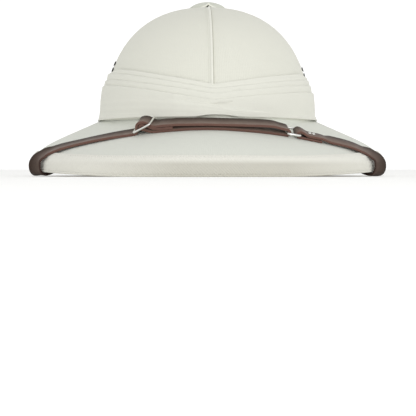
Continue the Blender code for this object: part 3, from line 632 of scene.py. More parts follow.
# Past the binding's start, in shares of the brim's reach
STITCH_REACH = 0.026
BINDING_TAPE = (
    # past the start, below the tape's full height: it stands proud but for the stitches
    (0.0, 0.0005),
    (0.004, 0.0001),
    (0.020, 0.0),
    (STITCH_REACH, 0.0002),
    (0.032, 0.0),
    (COVER_END - BINDING_START, 0.0),
)
BINDING_EDGE = (
    # inset, height from the brim's upper corner
    (0.0014, 0.0016),
    (0.0004, 0.0002),
    (0.0, -0.0016),
    (0.0, -0.0040),
)
BINDING_FOOT = (
    # inset, height from the foot; the groove is for the lower stitches
    (0.0, 0.0028),
    (0.0003, 0.0022),
    (0.0, 0.0016),
    (0.0003, 0.0006),
    (0.0011, 0.0),
    (0.0040, 0.0),
)
STITCH_PITCH = 0.0034
STITCH_LENGTH = 0.0026
STITCH_WIDTH = 0.0006
STITCH_SAMPLES = 720
LOW_STITCH_INSET, LOW_STITCH_HEIGHT, LOW_STITCH_PROUD = 0.0002, 0.0022, 0.0002
TOP_STITCH_SUNK, TOP_STITCH_PROUD = 0.0001, 0.00012


def hole_edge(form, angle, distance):
    x, y = oval(angle, VENT_HOLE, VENT_HOLE * form.crown_length / form.crown_width, 2.0)
    return Vector((x, y, form.top - VENT_EDGE_DROP + distance))


def crown_section(form, angle):
    outside = [form.off_crown(angle, climb, 0.0) for climb in CROWN_CLIMBS]
    inside = [form.off_crown(angle, climb, -CLOTH) for climb in reversed(CROWN_CLIMBS)]
    return outside + [hole_edge(form, angle, 0.0), hole_edge(form, angle, -CLOTH)] + inside


def brim_face(form, angle, distance):
    """One face of the brim's cloth, which laps a little way up the crown under the puggaree."""
    base = form.junction(angle)
    lap = [form.on_crown(angle, base + height, GAP + CLOTH + distance) for height in LAP_HEIGHTS]
    face = [form.off_brim(angle, reach, distance) for reach in BRIM_REACHES]
    return lap + [lap[-1].lerp(face[0], 0.5) - Vector((0.0, 0.0, LAP_SAG))] + face


def brim_section(form, angle):
    return brim_face(form, angle, 0.0) + brim_face(form, angle, -CLOTH)[::-1]


def shell_section(form, angle):
    lift, rim = form.rim_lift(angle), BINDING + GAP
    points = [hole_edge(form, angle, -SHELL_OUTSIDE)]
    points += [form.off_crown(angle, climb, -SHELL_OUTSIDE) for climb in reversed(CROWN_CLIMBS)]
    points += [form.off_brim(angle, reach, -SHELL_OUTSIDE) for reach in BRIM_REACHES]
    points += [form.rim(angle, rim, RIM_CORNER + lift - SHELL_EDGE),
               form.rim(angle, rim, lift + rim + SHELL_EDGE)]
    points += [form.off_brim(angle, reach, -SHELL_INSIDE)
               for reach in stations(BINDING_START, ROOT_REACH, 12)]
    wall = form.off_crown(angle, CROWN_CLIMBS[0], -SHELL_INSIDE)
    corner, last = wall - Vector((0.0, 0.0, ROOT_DROP)), points[-1]
    points += [last.lerp(corner, share) for share in ROOT_SHARES]
    points.append(corner + Vector((0.0, 0.0, ROOT_RISE)))
    points += [form.off_crown(angle, climb, -SHELL_INSIDE)
               for climb in CROWN_CLIMBS[HOLLOW_START:]]
    return points + [hole_edge(form, angle, -SHELL_INSIDE)]


def binding_section(form, angle):
    """The binding tape, folded over the rim and a little proud where it is stitched down."""
    lift = form.rim_lift(angle)
    corner = RIM_CORNER + lift
    over, under = GAP + BINDING, SHELL_INSIDE + GAP
    outer = [form.off_brim(angle, BINDING_START + past, over - below)
             for past, below in BINDING_TAPE]
    outer += [form.rim(angle, inset, corner + height) for inset, height in BINDING_EDGE]
    outer += [form.rim(angle, inset, lift + height) for inset, height in BINDING_FOOT]
    return outer + [form.off_brim(angle, BINDING_START, -(under + BINDING)),
                    form.off_brim(angle, BINDING_START, -under),
                    form.rim(angle, BINDING, lift + BINDING), form.rim(angle, BINDING, corner),
                    form.off_brim(angle, COVER_END, GAP),
                    form.off_brim(angle, BINDING_START, GAP)]


def stitch_row(surface_point, proud):
    """A row of stitches round the hat, each a small flattened bead of thread."""
    ring = [surface_point(tau * step / STITCH_SAMPLES) for step in range(STITCH_SAMPLES + 1)]
    lengths = running_lengths(ring)
    count = round(lengths[-1] / STITCH_PITCH)
    whole = bmesh.new()
    at = 0
    for stitch in range(count):
        goal = lengths[-1] * stitch / count
        while lengths[at + 1] < goal:
            at += 1
        share = (goal - lengths[at]) / (lengths[at + 1] - lengths[at])
        centre = ring[at].lerp(ring[at + 1], share)
        along = (ring[at + 1] - ring[at]).normalized()
        outward = Vector((centre.x, centre.y, 0.0)).normalized()
        outward = (outward - along * outward.dot(along)).normalized()
        axes = Matrix((along * STITCH_LENGTH / 2, along.cross(outward) * STITCH_WIDTH / 2,
                       outward * proud)).transposed().to_4x4()
        bmesh.ops.create_icosphere(whole, subdivisions=1, radius=1.0,
                                   matrix=Matrix.Translation(centre) @ axes)
    return whole


EYELETS = (
    # name, angle round the crown, height
    ("left_upper", 190.0, 0.1036),
    ("left_lower", 190.0, 0.0980),
    ("right_upper", -5.5, 0.0989),
    ("right_lower", -5.5, 0.0933),
)
EYELET_PROUD = 0.0005
# The right strap's pin, as an angle round the hat, and the strap's way up the wall to past it
ANCHOR_ANGLE = radians(-8.0)
ANCHOR_STATIONS = (
    # height, extra distance off the wall
    (0.0440, 0.0018),
    (0.0500, 0.0011),
    (0.0560, 0.0010),
    (0.0650, 0.0010),
)
# Radius and length of the eyelets' holes in the shell and in the cover, and of the pins'
EYELET_BORE, EYELET_BORE_LENGTH = 0.0020, 0.030
EYELET_CUT, EYELET_CUT_LENGTH = 0.0018, 0.012
PIN_BORE, PIN_BORE_LENGTH, PIN_BORE_SHIFT = 0.0022, 0.0080, 0.001


def eyelet_seats(form):
    seats = []
    for _, degrees, height in EYELETS:
        angle = radians(degrees)
        climb = form.climb_at(angle, height)
        seats.append((form.off_crown(angle, climb, EYELET_PROUD),
                      form.outward(form.crown, angle, climb)))
    return seats


def anchor_points(form, thickness):
    """Middle of the right strap at each of its stations up the wall inside the crown."""
    points = []
    for height, off_wall in ANCHOR_STATIONS:
        inside = SHELL_INSIDE + GAP + thickness / 2 + off_wall
        points.append(form.on_crown(ANCHOR_ANGLE, height, -inside))
        points[-1].z = height
    return points


def anchor_seat(form, hand, thickness):
    """Centre of the strap at its pin, and the way from the wall into the hat."""
    centre, high = anchor_points(form, thickness)[2:]
    axis = Vector((-sin(ANCHOR_ANGLE), cos(ANCHOR_ANGLE), 0.0)).cross(centre - high).normalized()
    mirror = Vector((hand, 1.0, 1.0))
    return centre * mirror, axis * mirror


class MouldedShell(bpy.types.Operator):
    """Make the bare pith shell that shows inside the crown and under the brim"""
    bl_idname = "helmet.shell"
    bl_label = "Moulded shell"

    def execute(self, context):
        form, thickness = hat_form(context), context.scene.helmet_sizes.strap_thickness
        shell = spun_piece(context, "pith_shell", shell_section, "moulded_pith", "shell")
        holes = [(*seat, EYELET_BORE, EYELET_BORE_LENGTH) for seat in eyelet_seats(form)]
        for hand in (-1, 1):
            point, axis = anchor_seat(form, hand, thickness)
            holes.append((point - axis * PIN_BORE_SHIFT, axis, PIN_BORE, PIN_BORE_LENGTH))
        drill(shell, holes)
        return {"FINISHED"}


class ClothCovers(bpy.types.Operator):
    """Make the cotton covers of the crown and the brim"""
    bl_idname = "helmet.covers"
    bl_label = "Cloth covers"

    def execute(self, context):
        crown = spun_piece(context, "crown_cloth", crown_section, "cotton_drill", "crown_cover")
        drill(crown, [(*seat, EYELET_CUT, EYELET_CUT_LENGTH)
                      for seat in eyelet_seats(hat_form(context))])
        spun_piece(context, "brim_cloth", brim_section, "brim_drill", "brim_cover")
        return {"FINISHED"}


class RimBinding(bpy.types.Operator):
    """Make the twill binding round the rim and its two rows of stitches"""
    bl_idname = "helmet.binding"
    bl_label = "Rim binding"

    def execute(self, context):
        form = hat_form(context)
        spun_piece(context, "rim_binding", binding_section, "binding_twill", "brim_binding")
        height, top = LOW_STITCH_HEIGHT, GAP + BINDING - TOP_STITCH_SUNK
        stitches = stitch_row(lambda angle: form.rim(
            angle, LOW_STITCH_INSET, form.rim_lift(angle) + height), LOW_STITCH_PROUD)
        add_part(stitches, stitch_row(lambda angle: form.off_brim(
            angle, BINDING_START + STITCH_REACH, top), TOP_STITCH_PROUD))
        new_piece("binding_stitches", stitches, ["cotton_thread"], [])
        return {"FINISHED"}


# The puggaree

PLEAT_EDGES = (
    # at the V, left side, right side, dip below the vents
    (0.0799, 0.0982, 0.0938, 0.0036),
    (0.0755, 0.0938, 0.0878, 0.0),
    (0.0715, 0.0875, 0.0830, 0.0),
    (0.0660, 0.0826, 0.0765, 0.0),
)
V_ROUNDING = 0.03
VENT_DIP_START = 0.90
EDGE_WANDER = 0.00035
# How far each layer of the puggaree stands out from the one above it
PLEAT_STEPS = (0.0011, 0.0010, 0.0010, 0.0015)
# Degrees right of the front over which something starts, and over which it ends
RIGHT_SPAN = (-2, 8, 100, 130)
MEET_SPAN = (-17, -11, 8, 16)
CREASE_SPAN = (-22, -10, 26, 36)
HOLLOW_SPAN = (-4, 6, 16, 30)
# The steps are lower by these shares on the right, up to the side, and where the wraps meet
RIGHT_THINNING = 0.45
RIGHT_SIDE = (50, 75)
MEET_THINNING = 0.8
RIPPLE_HEIGHT = 0.00018
HOLLOW_DEPTH = 0.0005
HOLLOW_HEIGHTS = (0.0555, 0.0640)
BACKING = 0.0010
PLEAT_BACKING = 0.0005
FOLD_BACKING = 0.0017
TUCK = 0.0026
LEAST_EDGE = 0.0011
# Below the tuck, where a layer's back starts to bend over the layer above it, and where it ends
BEND_START, BEND_END = 0.0016, 0.0006
# Top of a layer's back: below the folded edge, and off the layer behind it
BACK_TOP_DROP, BACK_TOP_GAP = 0.0006, 0.0001
# The folded edge: its inner corner, how proud it is, and how far the turn stays off the face
EDGE_DROP, EDGE_GAP = 0.0001, 0.0003
EDGE_PROUD = 0.0001
TURN_INSET = 0.0001
# How far below the edge the turn lies, and where the flat face starts
PLEAT_TURN, PLEAT_FACE_START = 0.0003, 0.0009
FOLD_TURN, FOLD_FACE_START = 0.0004, 0.0012
PLEAT_FOOT = (
    # above the next pleat's edge, below this one's face
    (0.0004, 0.0001),
    (-0.0008, 0.0003),
    (-TUCK, 0.0008),
)
HEM_FRONT = 0.0530
HEM_SIDE = 0.0552
HEM_RISE = 0.0012
# The hem arches up a little over the strap, right of the front
HEM_ARCH = 0.0016
HEM_ARCH_PLACE = 5.0
HEM_ARCH_REACH = 13.0
HEM_FLARE = 0.04
HEM_DROP = 0.0009
HEM_ROWS = (
    # off the fold's face, further down; both grow with the flare at the sides
    (0.0009, 0.0003),
    (0.0020, 0.0028),
    (0.0019, 0.0033),
)
HEM_TUCK = (
    # off the face, then down: in front, more at the sides, more where the hem is turned under
    (-0.0020, 0.0012, -0.0010),
    (0.0006, 0.0020, 0.0022),
)
# Step of the cloth where the left wrap crosses over the right one, and its steep part
CREASE_STEP = 0.0009
CREASE_ABOVE, CREASE_BELOW = 0.0005, 0.0008
CREASE_ROWS = (
    # below the crease, share of its step
    (0.0, 0.3),
    (0.0003, 0.9),
)
# Least distance of the crease from the fold's edge, and from its hem
CREASE_FROM_EDGE, CREASE_FROM_HEM = 0.0040, 0.0030
# Shares of the way down to the crease, and from it down to the hem, which swells at the sides
ABOVE_SHARES = (0.0, 0.3, 0.6, 0.85, 1.0)
BELOW_SHARES = (0.0, 0.25, 0.5, 0.7, 0.85)
HEM_SWELL = 0.0006
CROSSING = (
    # degrees right of the front, height of that crease
    (-34.0, 0.0685),
    (-16.0, 0.0655),
    (-7.8, 0.0639),
    (-1.7, 0.0630),
    (3.2, 0.0611),
    (8.6, 0.0590),
    (15.7, 0.0580),
    (24.8, 0.0561),
    (28.0, 0.0536),
    (40.0, 0.0500),
)


def front_offset(angle):
    """Degrees to the right of the front, from -180 to 180."""
    return (angle / tau * 360 + 270) % 360 - 180


def between(value, *bounds):
    """Rises smoothly from 0 to 1 over the first two bounds, and falls back over the others."""
    return smooth_step(value, *bounds[:2]) * (1 - smooth_step(value, *bounds[2:]))


def pleat_edge(row, angle):
    """Height of a pleat's folded upper edge: a V at the front seam, and an even run behind."""
    front, left, right, vent_dip = PLEAT_EDGES[row]
    across = cos(angle - radians(SEAM_TURN))
    height = (left + right) / 2 + (right - left) / 2 * across
    if sin(angle - radians(SEAM_TURN)) < 0:
        height = front + ((left if across < 0 else right) - front) * hypot(across, V_ROUNDING)
    height -= vent_dip * max(0.0, (abs(across) - VENT_DIP_START) / (1 - VENT_DIP_START))
    wander = noise.noise(Vector((cos(angle) * 2.6, sin(angle) * 2.6, row * 3.0)))
    return height + EDGE_WANDER * wander


def pleat_face(row, angle):
    """Distance of a layer's face off the crown; the steps are low where the wraps meet."""
    offset = front_offset(angle)
    right = between(offset, *RIGHT_SPAN) * (1 - smooth_step(offset, *RIGHT_SIDE))
    face = BACKING
    for index, step in enumerate(PLEAT_STEPS[:row + 1]):
        face += step * (1 - RIGHT_THINNING * right)
        if index == 3:
            face -= MEET_THINNING * step * between(offset, *MEET_SPAN)
    return face


def draped(form, angle, row, rows):
    """Points of a layer's outer face, with soft ripples and a hollow beside the crossing."""
    offset = front_offset(angle)
    hollow = HOLLOW_DEPTH * between(offset, *HOLLOW_SPAN)
    points = []
    for height, distance in rows:
        ripple = noise.noise(Vector((cos(angle) * 5, sin(angle) * 5, height * 160 + row * 5.0)))
        off = RIPPLE_HEIGHT * ripple - hollow * smooth_step(height, *HOLLOW_HEIGHTS)
        points.append(form.on_crown(angle, height, distance + off))
    return points


def layer_back(form, angle, foot, backing, top, behind):
    """Points up the back of a layer, over the layer above it, to its folded edge."""
    rows = ((foot, backing), (top - TUCK - BEND_START, backing), (top - TUCK - BEND_END, behind),
            (top - BACK_TOP_DROP, behind + BACK_TOP_GAP))
    return [form.on_crown(angle, height, distance) for height, distance in rows]


def folded_edge(top, behind, face, turn):
    """Rows round a layer's folded edge, from the layer behind it out to its own face."""
    return [(top - EDGE_DROP, behind + EDGE_GAP), (top, (behind + face) / 2 + EDGE_PROUD),
            (top - turn, face - TURN_INSET)]


def pleat_section(form, angle, row):
    """One pleat: its folded edge above, its face, and its tail tucked behind the next one."""
    top, low = pleat_edge(row, angle), pleat_edge(row + 1, angle)
    behind, face = pleat_face(row - 1, angle), pleat_face(row, angle)
    middle = min((top + low) / 2, top - LEAST_EDGE)
    rows = folded_edge(top, behind, face, PLEAT_TURN)
    rows += [(top - PLEAT_FACE_START, face), (middle, face)]
    rows += [(low + above, face - inset) for above, inset in PLEAT_FOOT]
    return (layer_back(form, angle, low - TUCK, PLEAT_BACKING, top, behind)
            + draped(form, angle, row, rows))


def fold_section(form, angle):
    """The wide lowest fold, crossed in front by a crease, with its hem just clear of the brim."""
    top, side, offset = pleat_edge(3, angle), cos(angle) ** 4, front_offset(angle)
    arch = 1 - smooth_step(abs(offset - HEM_ARCH_PLACE), 2.0, HEM_ARCH_REACH)
    low = HEM_FRONT + HEM_ARCH * arch + (HEM_SIDE - HEM_FRONT) * side
    crease = min(top - CREASE_FROM_EDGE, max(low + CREASE_FROM_HEM, read_row(CROSSING, offset)))
    step = CREASE_STEP * between(offset, *CREASE_SPAN)
    behind, face = pleat_face(2, angle), pleat_face(3, angle)
    foot = face + step
    rows = folded_edge(top, behind, face, FOLD_TURN)
    first, last = top - FOLD_FACE_START, crease + CREASE_ABOVE
    rows += [(first + (last - first) * share, face) for share in ABOVE_SHARES]
    rows += [(crease - drop, face + step * share) for drop, share in CREASE_ROWS]
    first = crease - CREASE_BELOW
    rows += [(first + (low - first) * share, foot + HEM_SWELL * side * share ** 4)
             for share in BELOW_SHARES]
    points = layer_back(form, angle, low + HEM_RISE, FOLD_BACKING, top, behind)
    points += draped(form, angle, 3, rows)
    flare = HEM_FLARE + (1 - HEM_FLARE) * side
    # Away from the arch and the sides the hem is turned well under, towards the brim's root
    under = min(1.0, 4 * (1 - side)) * (1 - arch)
    hem = [(distance * flare, HEM_DROP + drop * flare) for distance, drop in HEM_ROWS]
    hem.append([front + sides * side + turned * under for front, sides, turned in HEM_TUCK])
    for distance, drop in hem:
        points.append(form.on_crown(angle, low, foot + distance))
        points[-1].z -= drop
    return points


class Puggaree(bpy.types.Operator):
    """Make the three pleats and the wide lowest fold of the puggaree"""
    bl_idname = "helmet.puggaree"
    bl_label = "Puggaree"

    def execute(self, context):
        for row in range(3):
            spun_piece(context, "puggaree_cloth_%d" % (row + 1),
                       lambda form, angle: pleat_section(form, angle, row), "puggaree_cotton",
                       "puggaree_pleat_%d" % (row + 1))
        spun_piece(context, "puggaree_cloth_fold", fold_section, "puggaree_cotton",
                   "puggaree_fold")
        return {"FINISHED"}


# Ventilator cap, seams and eyelets

CAP_STEPS = 144
CAP_SHARES = (0.04, 0.14, 0.25, 0.37, 0.49, 0.61, 0.72, 0.82, 0.90, 0.96, 1.0)
CAP_ROUNDNESS = 0.75
CAP_EDGE_CLIMB = radians(82.8)
CAP_EDGE_RISE = 0.0007
CAP_STEM = 0.0064
CAP_STEM_TOP = 0.0054
CAP_STEM_FOOT = 0.1490
CAP_POLE = 0.0005
# The lip is pinched up and thicker over this many degrees each side of the seam
PINCH_REACH = 26.0
PINCH_HEIGHT = 0.0032
PINCH_SHARPNESS = 2.6
# The lip's roll and thickness, and what the pinch adds to each
LIP_ROLL, PINCH_ROLL = 0.0001, 0.0006
LIP_THICKNESS, PINCH_THICKNESS = 0.0009, 0.0007
LIP_UNDERSIDE = (
    # in from the lip, share of its thickness below it
    (0.0004, 1.0),
    (0.0012, 0.8),
    (0.0030, 0.4),
)
PINCH_START = 0.55
# Within this many degrees of the seam, and out past this share of the radius, the lip gets the
# painted highlight
PINCH_HIGHLIGHT_REACH = 24.0
PINCH_HIGHLIGHT_START = 0.985


def cap_section(form, sizes, angle):
    """The cap's cloth dome, whose lip is pinched up where the front seam meets it."""
    near = max(0.0, 1 - abs(front_offset(angle) - SEAM_TURN) / PINCH_REACH)
    full = min(1.0, 2 * near)
    roll, thick = LIP_ROLL + PINCH_ROLL * full, LIP_THICKNESS + PINCH_THICKNESS * full
    edge = form.crown(angle, CAP_EDGE_CLIMB).z + CAP_EDGE_RISE
    points = []
    for share in CAP_SHARES:
        dome = (1 - share * share) ** CAP_ROUNDNESS
        lift = PINCH_HEIGHT * near ** PINCH_SHARPNESS * smooth_step(share, PINCH_START, 1.0)
        points.append((sizes.cap_radius * share, edge + (sizes.cap_top - edge) * dome + lift))
    radius, height = points[-1]
    points += [(radius + roll, height + 0.5 * roll), (radius + 1.3 * roll, height - 0.3 * thick),
               (radius + LIP_ROLL + roll, height - 0.7 * thick)]
    points += [(radius - inset, height - share * thick) for inset, share in LIP_UNDERSIDE]
    points += [(CAP_STEM, sizes.cap_top - CAP_STEM_TOP), (CAP_STEM, CAP_STEM_FOOT),
               (CAP_POLE, CAP_STEM_FOOT)]
    return [Vector((radius * cos(angle), radius * sin(angle), height))
            for radius, height in points]


class VentilatorCap(bpy.types.Operator):
    """Make the cloth-covered ventilator cap on its stem"""
    bl_idname = "helmet.cap"
    bl_label = "Ventilator cap"

    def execute(self, context):
        form, sizes = hat_form(context), context.scene.helmet_sizes
        mesh = spun_row(lambda angle: cap_section(form, sizes, angle), CAP_STEPS, closed=False)
        # Lip faces near the front seam get the painted highlight
        for face in mesh.faces:
            middle = face.calc_center_median()
            offset = front_offset(atan2(middle.y, middle.x)) - SEAM_TURN
            at_lip = hypot(middle.x, middle.y) > PINCH_HIGHLIGHT_START * sizes.cap_radius
            face.material_index = int(at_lip and abs(offset) < PINCH_HIGHLIGHT_REACH)
        # The spun row leaves a small round opening at each of its ends
        bmesh.ops.holes_fill(mesh, edges=[edge for edge in mesh.edges if edge.is_boundary])
        bmesh.ops.recalc_face_normals(mesh, faces=mesh.faces)
        new_piece("cap_cloth", mesh, ["cap_drill", "folded_drill"], ["ventilator_cap"])
        return {"FINISHED"}


# Climb at which the front and back seams run out, under the cap's lip
SEAM_END = radians(77.5)
SEAM_ROWS = 56
SEAM_FOOT = 0.00005
SEAM_THICKNESS = 0.0006
# How far below the puggaree's upper edge the seams start
SEAM_OVERLAP = 0.0010
# The seam flattens by this share over the last of its length
SEAM_TAPER, SEAM_TAPER_START = 0.7, 0.90
SEAM_PROFILE = (
    # across, height above the cloth
    (-0.0030, 0.0001),
    (-0.0016, 0.0004),
    (-0.0009, 0.0010),
    (-0.0003, 0.0018),
    (0.0003, 0.0020),
    (0.0008, 0.0016),
    (0.0009, 0.0009),
    (0.0008, 0.0002),
    (0.0017, 0.0001),
)
# First step across the profile of the ridge with its painted highlight, and of the corner beside it
# with its painted shadow
SEAM_RIDGE, SEAM_CORNER = 2, 6


def seam_strip(form, angle, low, high):
    """A lapped seam: it rises gently on the left and drops to the cloth on the right."""
    steps = len(SEAM_PROFILE) - 1
    mesh = bmesh.new()
    bmesh.ops.create_grid(mesh, x_segments=SEAM_ROWS, y_segments=steps, size=0.5)
    uv = mesh.loops.layers.uv.new("cloth")
    aside = Vector((-sin(angle), cos(angle), 0.0))
    # Painted highlight on the ridge, and painted shadow in the corner beside it
    for face in mesh.faces:
        step = int((face.calc_center_median().y + 0.5) * steps)
        face.material_index = (step >= SEAM_RIDGE) + (step >= SEAM_CORNER)
    for vert in mesh.verts:
        share = vert.co.x + 0.5
        across, rise = SEAM_PROFILE[round((vert.co.y + 0.5) * steps)]
        rise *= 1 - SEAM_TAPER * smooth_step(share, SEAM_TAPER_START, 1.0)
        climb = form.climb_at(angle, low + (high - low) * sin(pi / 2 * share))
        vert.co = form.off_crown(angle, climb, SEAM_FOOT + rise) + aside * across
    for face in mesh.faces:
        for loop in face.loops:
            loop[uv].uv = (loop.vert.co.x, loop.vert.co.z)
    under = bmesh.ops.extrude_face_region(mesh, geom=mesh.faces[:])
    for item in under["geom"]:
        if isinstance(item, bmesh.types.BMVert):
            outward = form.outward(form.crown, angle, form.climb_at(angle, item.co.z))
            item.co -= outward * SEAM_THICKNESS
    bmesh.ops.recalc_face_normals(mesh, faces=mesh.faces)
    return mesh


class CrownSeams(bpy.types.Operator):
    """Make the seams that run up the crown in front and behind"""
    bl_idname = "helmet.seams"
    bl_label = "Crown seams"

    def execute(self, context):
        form = hat_form(context)
        for name, degrees in (("front", SEAM_TURN - 90), ("back", SEAM_TURN + 90)):
            angle = radians(degrees)
            mesh = seam_strip(form, angle, pleat_edge(0, angle) - SEAM_OVERLAP,
                              form.crown(angle, SEAM_END).z)
            new_piece("seam_" + name, mesh, ["cotton_drill", "folded_drill", "dusty_drill"],
                      ["seam_piping_" + name])
        return {"FINISHED"}


EYELET_PROFILE = (
    # radius, height above its seat on the cloth
    (0.0010, 0.0001),
    (0.0011, 0.0003),
    (0.0015, 0.0005),
    (0.0019, 0.0005),
    (0.0024, 0.0003),
    (0.0027, 0.0001),
    (0.0027, 0.0),
    (0.0016, 0.0),
    (0.0016, -0.0040),
    (0.0010, -0.0040),
)


class VentEyelets(bpy.types.Operator):
    """Make the four vent eyelets, two on each side of the crown"""
    bl_idname = "helmet.eyelets"
    bl_label = "Vent eyelets"

    def execute(self, context):
        for (name, _, _), seat in zip(EYELETS, eyelet_seats(hat_form(context))):
            new_piece("eyelet_" + name, turned(EYELET_PROFILE, 32, *seat), ["oxidised_brass"],
                      ["vent_eyelet_" + name])
        return {"FINISHED"}


# Chin strap

STRAP_COURSE = (
    # across, forward
    (0.000, 0.1235),
    (0.030, 0.1212),
    (0.052, 0.1155),
    (0.075, 0.1088),
    (0.100, 0.1030),
    (0.122, 0.0975),
    (0.141, 0.0901),
)
# Steps along the course when it is measured, and along the finished strap
COURSE_STEP = 0.002
STRAP_STEP = 0.0016
STRAP_COLUMNS = 6
LAY_LOW = 0.0014
SLIDE_PLACE = -0.0542
SLIDE_PITCH = 0.0080
SLIDE_WIRE = 0.0009
SLIDE_HALF_WIDTH = 0.0092
SLIDE_LIFT_LEFT = 0.0038
SLIDE_LIFT_RIGHT = 0.0098
SLIDE_BEND = 0.0020
RING_PLACE = 0.0742
RING_PITCH = 0.0060
RING_WIRE = 0.0011
RING_HALF_WIDTH = 0.0090
RING_LIFT = 0.0038
RING_BEND = 0.0024
MIDDLE_TAIL_END = -0.0286
RIGHT_TAIL_END = 0.1008
# The single strap ends this far before its course does, and the wrap round the rim follows
RIM_APPROACH = 0.006
RISE_LENGTH = 0.0350
RISE_LIFT = 0.0022
BRIDGE_LIFT = 0.0008
# Past the rivets the pull lifts the strap off the brim, and its far edge more by this slope
PULLED_RISE = 0.0018
PULLED_TILT = 0.14
# Ways up to a bar and away from it: from the bar, above the lift that each is measured from
TO_SLIDE = ((0.0100, 0.0006), (0.0055, 0.0028))
FROM_SLIDE = ((0.0050, 0.0010),)
TO_HUMP = ((0.0115, 0.0001), (0.0080, 0.0010))
HUMP = ((0.0045, -0.0011), (0.0000, 0.0000), (-0.0036, -0.0013), (-0.0051, -0.0044))
FROM_HUMP = ((-0.0056, -0.0018),)
FROM_RING_TOP = ((0.0030, -0.0006),)
FROM_RING_MIDDLE = ((0.0055, 0.0008),)
RIGHT_END = ((0.0035, -0.0006),)
# How far from its bars the strap lies level, or taut
TAIL_FROM_SLIDE = 0.0150
LOW_FROM_SLIDE, LOW_FROM_RING = 0.0110, 0.0060
TAUT_FROM_SLIDE = 0.0160
RIGHT_LOW_FROM_RING, RIGHT_TOP_FROM_RING = 0.0050, 0.0078
# Where the single strap starts, past the slide and past the right strap's end
OUTER_FROM_SLIDE, OUTER_FROM_END = 0.0130, 0.0080
TAUT = (
    # share of the way from the slide to the ring, stray from an even lift
    (0.00, 0.0002),
    (0.12, 0.0000),
    (0.25, -0.0006),
    (0.50, -0.0010),
    (0.68, -0.0002),
    (0.84, 0.0010),
    (0.94, 0.0014),
    (1.00, 0.0006),
)
WRAP = (
    # outward, height, backward, near edge outward, near edge down
    (-0.0018, 0.0205, 0.0005, 0.05, 0.20),
    (0.0033, 0.0158, 0.0052, -0.05, 0.13),
    (0.0048, 0.0110, 0.0067, -0.18, 0.08),
    (0.0038, 0.0056, 0.0075, -0.20, 0.06),
    (-0.0008, 0.0019, 0.0090, -0.20, 0.00),
)
UNDER_SHARES = (0.12, 0.24, 0.36, 0.50, 0.65, 0.82)
UNDER_CLEARANCE = 0.0037
UNDER_LOWEST = 0.0018
UNDER_LEVEL_SHARE = 0.45
# How far the leather bows up along its middle
STRAP_CROWN = 0.0004
LEATHER_ROUNDING = 0.00055


def curve_point(p0, p1, p2, p3, share):
    """Point between p1 and p2 of the centripetal Catmull-Rom curve through four points."""
    a = (p1 - p0).length ** 0.5
    b = (p2 - p1).length ** 0.5
    c = (p3 - p2).length ** 0.5
    t = a + b * share
    early = p0.lerp(p1, t / a).lerp(p1.lerp(p2, share), t / (a + b))
    late = p1.lerp(p2, share).lerp(p2.lerp(p3, (t - a - b) / c), (t - a) / (b + c))
    return early.lerp(late, share)


def smooth_stations(rows, step):
    """Stations, each a centre and a side, read at an even step from a smooth curve."""
    centres = [centre for centre, _ in rows]
    ends = [centres[0] * 2 - centres[1]] + centres + [centres[-1] * 2 - centres[-2]]
    smooth = []
    for index in range(len(centres) - 1):
        window = ends[index:index + 4]
        count = max(1, round((window[2] - window[1]).length / step))
        smooth += [(curve_point(*window, part / count),
                    rows[index][1].lerp(rows[index + 1][1], part / count))
                   for part in range(count)]
    return smooth + [rows[-1]]


def spread(first, last, lift, step=0.006):
    """Places from first to last, all at one lift."""
    count = max(1, round(abs(last - first) / step))
    return [(place, lift) for place in stations(first, last, count)]


def beside(rows, place, lift):
    """Rows of a course that are given from a place and a lift."""
    return [(place + along, lift + rise) for along, rise in rows]


def arc(place, lift, radius, first, last, count):
    turns = [radians(degrees) for degrees in stations(first, last, count)]
    return [(place + radius * cos(turn), lift + radius * sin(turn)) for turn in turns]


